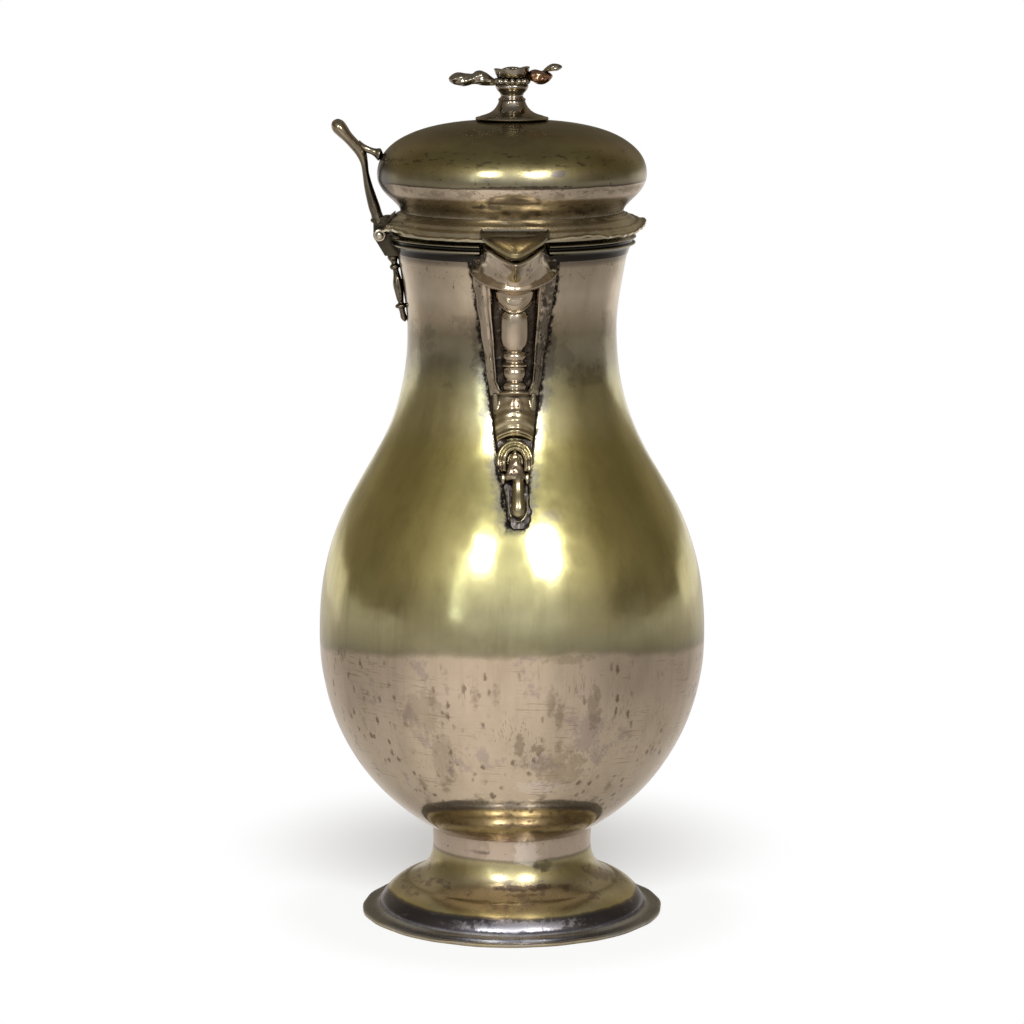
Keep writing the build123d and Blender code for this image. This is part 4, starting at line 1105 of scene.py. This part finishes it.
def flange_rows(drop):
    rows = []
    for i in range(FLANGE_STEPS + 1):
        s = i / FLANGE_STEPS
        row = []
        for angle in turns(FLANGE_COLUMNS):
            cut = 0.5 * round_noise(angle, 7, 7) + 0.4 * round_noise(angle, 17, 3)
            r = FLANGE_IN + s * (FLANGE_OUT + cut - FLANGE_IN)
            z = between(FLANGE_LINE, r) + flange_lift(angle) * smooth(0.35, 1, s) * s
            z += dent(polar(r, angle, 0), 6, 0.18) * s
            row.append(polar(r, angle, z - drop * (1 - 0.35 * s)))
        rows.append(row)
    return rows


def flange_cell(i, j):
    angle = 2 * pi * (j + 0.5) / FLANGE_COLUMNS
    r = FLANGE_IN + (i + 0.5) / FLANGE_STEPS * (FLANGE_OUT - FLANGE_IN)
    beside = abs(r * sin(angle))
    return not (cos(angle) < 0 and beside < HINGE_CUT_HALF and r > HINGE_CUT_R)


piece(
    "lid_brim", sheet(flange_rows(0), flange_rows(1), keep=flange_cell), lid_metal, "lid",
    ["lid_flange"], SHEET_SHARP,
)

# flap over the spout's mouth
FLAP_SLOPE = radians(22.6)
FLAP_ROOT = (0, -41.4, 239.7)
FLAP_HALF = [
    (0, 0.2), (6, 0.25), (9.8, 0.2), (10.9, -0.15), (11.35, -1.1), (11.3, -2.6), (10.6, -5.4),
    (8.6, -8.8), (6.2, -12), (3.8, -14.9), (1.9, -16.8), (0.7, -17.45), (0, -17.6),
]
flap_line = through(FLAP_HALF, 5)
flap_loop = flap_line + [(-x, y) for x, y in reversed(flap_line[1:-1])]


def on_flap(x, along, rise):
    return (
        FLAP_ROOT[0] + x,
        FLAP_ROOT[1] + along * cos(FLAP_SLOPE) - rise * sin(FLAP_SLOPE),
        FLAP_ROOT[2] + along * sin(FLAP_SLOPE) + rise * cos(FLAP_SLOPE),
    )


def inset_loop(loop, distance):
    """Loop drawn in by distance."""
    out = []
    for p, q, r in zip(loop[-1:] + loop[:-1], loop, loop[1:] + loop[:1]):
        along = Vector((r[0] - p[0], r[1] - p[1])).normalized()
        out.append((q[0] + along.y * distance, q[1] - along.x * distance))
    return out


# rings round the flap's wire edge, then over its raised middle
flap_rings = []
for inward, rise in [
    (1.4, -0.3), (0, -0.3), (-0.05, 0.5), (0.03, 1), (0.2, 1.2), (0.42, 1.2), (0.6, 1),
    (0.75, 0.55), (1.5, 0.4),
]:
    flap_rings.append([on_flap(x, y, rise) for x, y in inset_loop(flap_loop, inward)])
FLAP_MIDDLE = -7.6
for share, swell in ((0.8, 0.25), (0.6, 0.5), (0.4, 0.68), (0.2, 0.78), (0.06, 0.8)):
    around = [
        (x * share, FLAP_MIDDLE + (y - FLAP_MIDDLE) * share) for x, y in inset_loop(flap_loop, 1.5)
    ]
    flap_rings.append([on_flap(x, y, 0.4 + swell * smooth(-2.4, -5.2, y)) for x, y in around])
piece("lid_flap", tube(flap_rings), flap_metal, "lid", ["spout_flap"])

# ---- thumbpiece and hinge
# stations up the lever: x, z, half thickness, half width, lean from upright in degrees
LEVER = [
    (-44.9, 238.2, 1.7, 2.4, 4), (-45.3, 240.2, 2.1, 2.6, 8), (-45.9, 242.4, 1.9, 2.4, 14),
    (-46.6, 244.6, 1.95, 2.4, 17), (-47.6, 248, 1.75, 2.2, 16), (-48.6, 251.8, 1.45, 1.9, 13),
    (-49.4, 256, 1.15, 1.7, 9), (-49.9, 259.6, 1.3, 1.8, 12), (-51, 263, 1.85, 2.3, 34),
    (-53.2, 265.7, 1.85, 2.8, 48), (-55.4, 268.1, 1.9, 3.3, 46), (-57.2, 270.2, 2.3, 3.7, 42),
    (-58.6, 271.8, 2.45, 3.6, 46), (-59.8, 272.9, 1.75, 2.6, 50), (-60.4, 273.4, 0.5, 1, 50),
]
rings = []
for x, z, thick, wide, lean in through(LEVER, 6):
    lean = radians(lean)
    rings.append(ring((x, 0, z), (0, 1, 0), (-cos(lean), 0, -sin(lean)), wide, thick, 32))
foot_bead = [
    ring((-45.4, 0, z), (0, 1, 0), (1, 0, 0), w, w, 28)
    for z, w in through([(238.9, 0.4), (239.2, 1.9), (240, 2.5), (240.9, 1.9), (241.3, 0.5)], 5)
]
lever = merge(tube(rings), tube(foot_bead))
casting("lid_lever", lever, "thumbpiece", material=hinge_metal, body="lid")
ARM = [
    (-51.9, 265.3, 1.9), (-50.6, 264.6, 1.5), (-49, 264, 1.2), (-47.4, 263.4, 1.15),
    (-46.2, 262.9, 1.4), (-45.3, 262.5, 1.9), (-44.6, 262.1, 2), (-43.6, 261.8, 0.6),
]
arm_rings = [
    ring((x, 0, z), (0, 1, 0), (0.25, 0, 1), size, size, 24) for x, z, size in through(ARM, 5)
]
casting("lid_arm", tube(arm_rings), "thumb_brace", material=hinge_metal, body="lid")


PIN_HALF = [
    (6.8, 1), (7.25, 1), (7.4, 1.9), (7.7, 2.1), (7.95, 1.8), (8.05, 1.1), (8.4, 1.3), (8.9, 1.3),
    (9.35, 0.8), (9.5, 0.1),
]
pin = [(-y, r) for y, r in reversed(PIN_HALF)] + PIN_HALF
rod = tube([
    ring((HINGE_X, y, HINGE_Z), (1, 0, 0), (0, 0, 1), max(r, THINNEST), max(r, THINNEST), 36)
    for y, r in through(pin, 3)
])
piece("hinge_rod", rod, pin_metal, "pot", ["hinge_pin"])

husk = [
    (229.6, 1, 1, 1.2), (228.8, 1.9, 1.7, 1.5), (227.6, 2.1, 1.8, 1.6), (226.4, 1.2, 1.2, 1.5),
    (225.6, 1.2, 1.1, 1.5), (224.9, 1.9, 1.7, 1.6), (224, 1.7, 1.5, 1.6), (223.4, 1, 1, 1.5),
    (221.5, 1.25, 1.2, 1.5), (218.8, 1.9, 1.7, 1.6), (215.8, 1.9, 1.5, 1.6),
    (213.4, 1.3, 1.2, 1.6), (212.2, 1, 1, 1.5), (211.5, 1.9, 1.9, 1.6), (210.7, 1.9, 1.9, 1.6),
    (210.1, 1.1, 1.1, 1.5), (208.6, 1.1, 1, 1.3), (207.2, 1.2, 1.1, 1.1), (206.2, 0.8, 0.8, 0.9),
    (205.6, 0.2, 0.2, 0.8),
]
curls = [
    wall_wire(
        [(side * 0.6, 223.2, 1.9), (side * 2.1, 220.6, 1.3), (side * 2.5, 216.8, 1.2),
         (side * 1.6, 213.6, 1.4), (side * 0.4, 212.4, 1.9)], 0.4, 180,
    )
    for side in (-1, 1)
]
husks = merge(wall_tube(husk, 180, 32, 4), *curls)
casting("hinge_husks", husks, "hinge_drop", material=hinge_metal)

# ---- finial
disc = [
    (0, 273.7), (11.7, 273.7), (12.2, 273.9), (12.4, 274.3), (12.2, 274.7), (11.6, 274.85),
    (11, 274.8), (10.7, 275.15), (10.2, 275.3), (9, 275.65), (7.6, 276.2), (6.4, 277),
    (5.4, 278.1), (4.7, 279.4), (4.35, 280.6), (0, 280.6),
]
cup = [
    (0, 280.2), (4.5, 280.2), (4.75, 280.6), (4.45, 281), (3.9, 281.4), (3.75, 282), (4.2, 282.9),
    (5, 283.7), (5.5, 284.6), (5.55, 285.3), (5.2, 285.8), (0, 285.8),
]
finial_piece("finial_base", lathe(disc, 96, closed=False), "finial_disc", sharp=50)
finial_piece("finial_bulb", lathe(cup, 96, closed=False), "finial_cup", sharp=50)


def calyx_shape(r, z, angle):
    """Leafy calyx: a ring of small pointed leaves."""
    leafy = abs(sin(7 * angle))
    out = smooth(3.5, 5.6, r)
    return r + out * (0.75 * leafy - 0.35), z + out * 0.35 * (leafy - 0.5)


calyx = [
    (0, 285.4), (4.4, 285.3), (5.4, 285.7), (5.9, 286.3), (5.9, 287), (5.4, 287.6), (4.3, 288),
    (0, 288),
]
finial_piece("finial_collar", lathe(calyx, 168, closed=False, shape=calyx_shape), "finial_calyx")


def petals(r, z, angle):
    """Cup of overlapping petals, its mouth cut slantwise and lower at the left."""
    up = smooth(288, 291.6, z)
    lobe = abs(sin(2.5 * angle + 0.6))
    rr = r + up * (0.55 * lobe - 0.25)
    return rr, z + up * (0.35 * cos(angle) - 0.3 + 0.5 * (lobe - 0.6))


flower = [
    (0, 287.7), (4.6, 287.7), (5.2, 288.4), (5.55, 289.4), (5.7, 290.4), (5.9, 291.3),
    (5.5, 291.5), (4.9, 291), (4.6, 290.1), (4.2, 289.2), (3.4, 288.6), (0, 288.5),
]
STAMEN = through([(288.3, 0.5), (290, 0.45), (290.6, 0.8), (291.2, 0.75), (291.5, 0.15)], 4)
stamens = [
    tube([ring((a, b, z), (1, 0, 0), (0, 1, 0), w, w, 16) for z, w in STAMEN])
    for a, b in ((0.2, 0.1), (1.5, 1.3), (-1.4, 1.5), (-1.6, -1.1), (1.3, -1.6))
]
bloom = merge(lathe(flower, 160, closed=False, shape=petals), *stamens)
finial_piece("finial_bloom", bloom, "finial_flower")


def leaf_loft(stations, lobes):
    """Cast leaf along X from (x, z, half width, half thickness); lobes is how deep its edge is cut."""
    made = []
    for x, z, wide, thick in through(stations, 6):
        nick = 1 - lobes * (0.5 - 0.5 * cos(2 * pi * x / 3.4))

        def vein(angle, x=x):
            ridge = 0.16 * exp(-((angle - pi / 2) / 0.25) ** 2)
            return 1 + ridge + 0.08 * sin(5 * angle + x)

        made.append(ring(
            (x, 0, z), (0, 1, 0), (0, 0, 1), max(wide * nick, 0.05), max(thick, 0.05), 36, vein
        ))
    return tube(made)


left_leaf = leaf_loft(
    [
        (-3.6, 286.4, 1.5, 0.9), (-5.6, 286.3, 1.5, 1), (-7, 286.7, 2, 1.4), (-8.6, 287.4, 2.8, 2),
        (-10.4, 287.8, 3.2, 2.3), (-12.2, 287.7, 2.9, 2), (-13.4, 287.4, 2.8, 1.6),
        (-15.2, 287.3, 3.5, 1.95), (-17.4, 287.3, 3.7, 2.1), (-19.4, 287.4, 3, 1.7),
        (-20.8, 287.5, 1.5, 0.9), (-21.3, 287.5, 0.3, 0.25),
    ],
    0.12,
)
finial_piece("finial_left_leaf", left_leaf, "finial_leaf_left")
right_leaf = leaf_loft(
    [
        (5.8, 288.8, 0.9, 0.6), (8.4, 288.9, 0.9, 0.55), (10.2, 289.6, 0.9, 0.6),
        (11.6, 290.6, 1.5, 0.8), (13.4, 291.2, 2.3, 1.15), (15.2, 291.4, 2.1, 1.1),
        (16.4, 291.5, 0.9, 0.6), (16.9, 291.5, 0.15, 0.15),
    ],
    0.1,
)
finial_piece("finial_right_leaf", right_leaf, "finial_leaf_right")
petal = leaf_loft(
    [
        (4.4, 288.1, 2, 0.9), (6.4, 288.4, 3.3, 1.6), (8.2, 288.2, 4, 2.2),
        (10.2, 287.9, 3.9, 2.1), (12, 288, 3, 1.6), (13.2, 288.3, 1.4, 0.8),
        (13.7, 288.4, 0.2, 0.2),
    ],
    0.2,
)
finial_piece("finial_petal", petal, material=petal_metal)

# ---- handle
MOUTH = (57.5, 213)
BOW_R, BACK_R, BACK_ANGLE = 34, 96, radians(34)


def spine(s):
    """Point and direction (y, z) of the handle's centre line, s from 0 at the top to 1."""
    bow, back = BOW_R * pi / 2, BACK_R * BACK_ANGLE
    run = s * (bow + back)
    if run <= bow:
        turn = run / BOW_R
        return (MOUTH[0] + BOW_R * sin(turn), MOUTH[1] - BOW_R * (1 - cos(turn))), turn
    bend = (run - bow) / BACK_R
    y = MOUTH[0] + BOW_R - BACK_R * (1 - cos(bend))
    return (y, MOUTH[1] - BOW_R - BACK_R * sin(bend)), pi / 2 + bend


GRIP_STEPS = 128
GRIP_FULL = [
    (0, 0.8), (0.03, 0.92), (0.1, 0.94), (0.3, 1.02), (0.62, 1.04), (0.9, 0.93), (0.97, 0.9), (1, 0.8)
]
grip_rings = []
for k in range(-2, GRIP_STEPS + 3):
    s = min(max(k / GRIP_STEPS, 0), 1)
    (y, z), turn = spine(s)
    full = between(GRIP_FULL, s)
    if k < 0 or k > GRIP_STEPS:  # both ends are closed flat
        full *= 0.05
    spur = 2.4 * exp(-((s - 0.33) / 0.035) ** 2) + 0.6 * exp(-((s - 0.95) / 0.012) ** 2)
    thick = 5.5 * full + spur / 2
    wide = 7 * full
    out = (0, sin(turn), cos(turn))
    centre = (0, y + out[1] * spur / 2, z + out[2] * spur / 2)
    grip_rings.append(ring(centre, (1, 0, 0), out, wide, thick, 48))
piece("wooden_grip", tube(grip_rings), wood, "pot", ["handle_grip"])


def socket(s, length):
    """Turned silver socket from the handle's mouth at s to the wall."""
    (y, z), turn = spine(s)
    away = (-cos(turn), sin(turn)) if s == 0 else (cos(turn), -sin(turn))
    across = (0, -away[1], away[0])
    outline = [
        (-0.2, 4.6), (0, 5.6), (0.5, 6.1), (1.1, 6.3), (1.7, 6.1), (2.1, 5.75), (2.5, 5.7),
        (2.9, 6), (3.4, 6.05), (3.9, 5.7), (6, 5.6), (0.45 * length, 5.3), (0.62 * length, 4.9),
        (0.76 * length, 5), (0.84 * length, 5.5), (0.87 * length, 6.3), (0.92 * length, 6.6),
        (0.96 * length, 6.9), (length, 7.4), (1.12 * length, 7.8), (1.4 * length, 7.8),
    ]
    made = []
    for distance, radius in through(outline, 4):
        centre = (0, y + away[0] * distance, z + away[1] * distance)
        fitted = []  # no ring sinks deeper into the pot than 0.4 mm
        for p in ring(centre, (1, 0, 0), across, radius, radius, 56):
            wall = wall_at(p[2])[0] - 0.4
            far = hypot(p[0], p[1])
            fitted.append((p[0] * wall / far, p[1] * wall / far, p[2]) if far < wall else p)
        made.append(fitted)
    return tube(made)


casting("socket_top", socket(0, 21.2), "handle_socket_upper")
casting("socket_low", socket(1, 15.5), "handle_socket_lower")

# ---- CAD nodes that stay
for node, material in {
    "lid_bezel": lid_metal, "molinet_ring": lid_metal, "plug_collar": finial_metal,
    "finial_rivet": finial_metal, "hinge_lower_leaf": leaf_metal, "lid_hinge_leaf": leaf_metal,
    "handle_pin_upper": pin_metal, "handle_pin_lower": pin_metal,
}.items():
    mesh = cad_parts[node].data
    mesh.materials.clear()
    mesh.materials.append(material)

# ---- studio
scene = bpy.context.scene
camera = bpy.data.objects.new("camera", bpy.data.cameras.new("camera"))
scene.collection.objects.link(camera)
CAMERA_TURN, CAMERA_TILT = radians(1.2), radians(80.55)
CAMERA_AWAY, CAMERA_Z = 1.287, 0.354  # metres
camera.location = (-CAMERA_AWAY * sin(CAMERA_TURN), -CAMERA_AWAY * cos(CAMERA_TURN), CAMERA_Z)
camera.rotation_euler = (CAMERA_TILT, 0, -CAMERA_TURN)
camera.data.sensor_width = 36
camera.data.lens = 133.77
scene.camera = camera

# what the polished metal sees all round it, by azimuth from the camera's side, rightwards
NEAR_LIGHT = [
    (-180, 0.75), (-145, 0.68), (-102, 0.46), (-72, 0.54), (-48, 0.84), (-20, 1), (10, 0.92),
    (32, 0.66), (52, 0.46), (77, 0.41), (109, 0.44), (145, 0.68), (180, 0.75),
]
HIGH_LIGHT = [
    (-180, 0.13), (-145, 0.31), (-123, 0.2), (-97, 0.2), (-73, 0.31), (-45, 0.62), (-22, 0.98),
    (0, 1), (22, 0.98), (46, 0.58), (76, 0.22), (111, 0.16), (145, 0.3), (180, 0.13),
]
SHADOW_WIDTH, SHADOW_DEPTH, SHADOW_BEHIND = 0.085, 0.085, 0.09  # metres
ROOM = 0.45  # the dim room beyond the table's front edge


def light_by_azimuth(n, x, y, steps):
    """Grey level by the azimuth of (x, y)."""
    turn = n.math("ARCTAN2", x, n.times(y, -1))
    stops = [(azimuth / 360 + 0.5, (level, level, level, 1)) for azimuth, level in steps]
    ramp = n.ramp(n.madd(turn, 0.5 / pi, 0.5), stops)
    ramp.color_ramp.interpolation = "EASE"
    return ramp.outputs[0]


def studio_floor():
    """White to the camera, with a painted shadow behind the pot that keeps its real shadow; a pale
    table with an edge to the metal.
    """
    n = Nodes(bpy.data.materials.new("floor"))

    def length(a, b):
        return n.math("SQRT", n.plus(n.times(a, a), n.times(b, b)))

    def either(share, first, second):
        return n.add("MixShader", i0=share, i1=first.outputs[0], i2=second.outputs[0])

    path = n.add("LightPath").outputs
    x, y, _ = n.axes(n.add("NewGeometry").outputs["Position"])
    far = length(x, y)
    table = n.mix(light_by_azimuth(n, x, y, NEAR_LIGHT), "000000", "f7efe8")
    behind = n.span(n.math("DIVIDE", y, far), 0.46, 0.62, ROOM, 0.95)
    table = n.mix(n.span(far, 0.85, 1.15), table, n.mix(behind, "000000", "fffaf4"))
    table = n.mix(n.span(far, 0.1, 0.3, 0.35, 0), table, "e8e1da")
    seen = n.add("Emission", i0=table, Strength=1)
    matte = n.add("BsdfDiffuse", i0="f4f4f4")
    white = n.add("Emission", i0="ffffff", Strength=1)
    # painted shadow: in an oval behind the pot, and thinly round the brim, the matte floor shows with
    # its real shadow; elsewhere it is plain white
    back = n.math("DIVIDE", n.minus(y, SHADOW_BEHIND), SHADOW_DEPTH)
    away = length(n.math("DIVIDE", x, SHADOW_WIDTH), back)
    painted_shadow_share = n.math("MAXIMUM", n.span(away, 0.3, 1.3, 0.8, 0), n.span(far, 0.067, 0.09, 0.15, 0))
    shadowed = either(n.minus(1, painted_shadow_share), matte, white)
    plain = either(path["Is Camera Ray"], matte, shadowed)
    return n.close(either(path["Is Glossy Ray"], plain, seen))


FLOOR = 6  # metres from the middle to each edge
floor_mesh = bpy.data.meshes.new("floor")
corners = [(-FLOOR, -FLOOR, 0), (FLOOR, -FLOOR, 0), (FLOOR, FLOOR, 0), (-FLOOR, FLOOR, 0)]
floor_mesh.from_pydata(corners, [], [(0, 1, 2, 3)])
floor_mesh.materials.append(studio_floor())
floor = bpy.data.objects.new("floor", floor_mesh)
scene.collection.objects.link(floor)


def studio_world(world):
    """White to the camera; metal sees a bright front, a white sweep behind and a dim ceiling."""
    n = Nodes(world)
    x, y, z = n.axes(n.add("TexCoord").outputs["Generated"])
    path = n.add("LightPath").outputs
    high = light_by_azimuth(n, x, y, HIGH_LIGHT)
    sweep = n.times(n.span(y, 0.44, 0.58), n.span(z, 0, 0.09, 0.85, 0))
    sweep = n.times(sweep, n.span(y, 0.75, 0.95, 1, 0.4))
    horizon = n.times(n.span(z, 0.1, 0.36, 0.34, 0), n.span(y, 0.1, -0.3))
    high = n.mix(1, high, n.mix(high, "ffe8bd", "ffffff"), "MULTIPLY")
    room = n.mix(sweep, n.mix(horizon, high, "000000"), "fffaf4")
    room = n.mix(n.span(z, 0.6, 0.95), room, "868480")
    seen = n.mix(path["Is Glossy Ray"], "b9b7b4", room)
    seen = n.mix(path["Is Camera Ray"], seen, "ffffff")
    return n.close(n.add("Background", i0=seen, Strength=1), "OutputWorld")


scene.world = studio_world(bpy.data.worlds.new("studio"))


def lamp(name, azimuth, elevation, distance, size, power, tint, seen=True):
    """Soft box aimed at the pot; azimuth 0 is the camera's side, positive to its right."""
    data = bpy.data.lights.new(name, "AREA")
    data.shape = "RECTANGLE"
    data.size, data.size_y = size
    data.energy = power
    data.color = tint
    obj = bpy.data.objects.new(name, data)
    scene.collection.objects.link(obj)
    obj.visible_glossy = seen
    a, e = radians(azimuth), radians(elevation)
    target = Vector((0, 0, 0.13))  # near the widest part of the pot
    obj.location = target + distance * Vector((sin(a) * cos(e), -cos(a) * cos(e), sin(e)))
    obj.rotation_euler = (target - obj.location).to_track_quat("-Z", "Y").to_euler()


lamp("key_right", 21, 32, 1.3, (0.3, 0.36), 5.5, (1, 1, 0.97))
lamp("key_left", -21, 32, 1.3, (0.26, 0.32), 4, (1, 1, 0.97))
lamp("window", -34, 15, 1.6, (0.17, 0.66), 0.55, (0.9, 1, 0.98))
lamp("fill", 150, 55, 1.6, (1.2, 1.2), 2, (1, 1, 1), seen=False)

scene.view_settings.view_transform = "Standard"
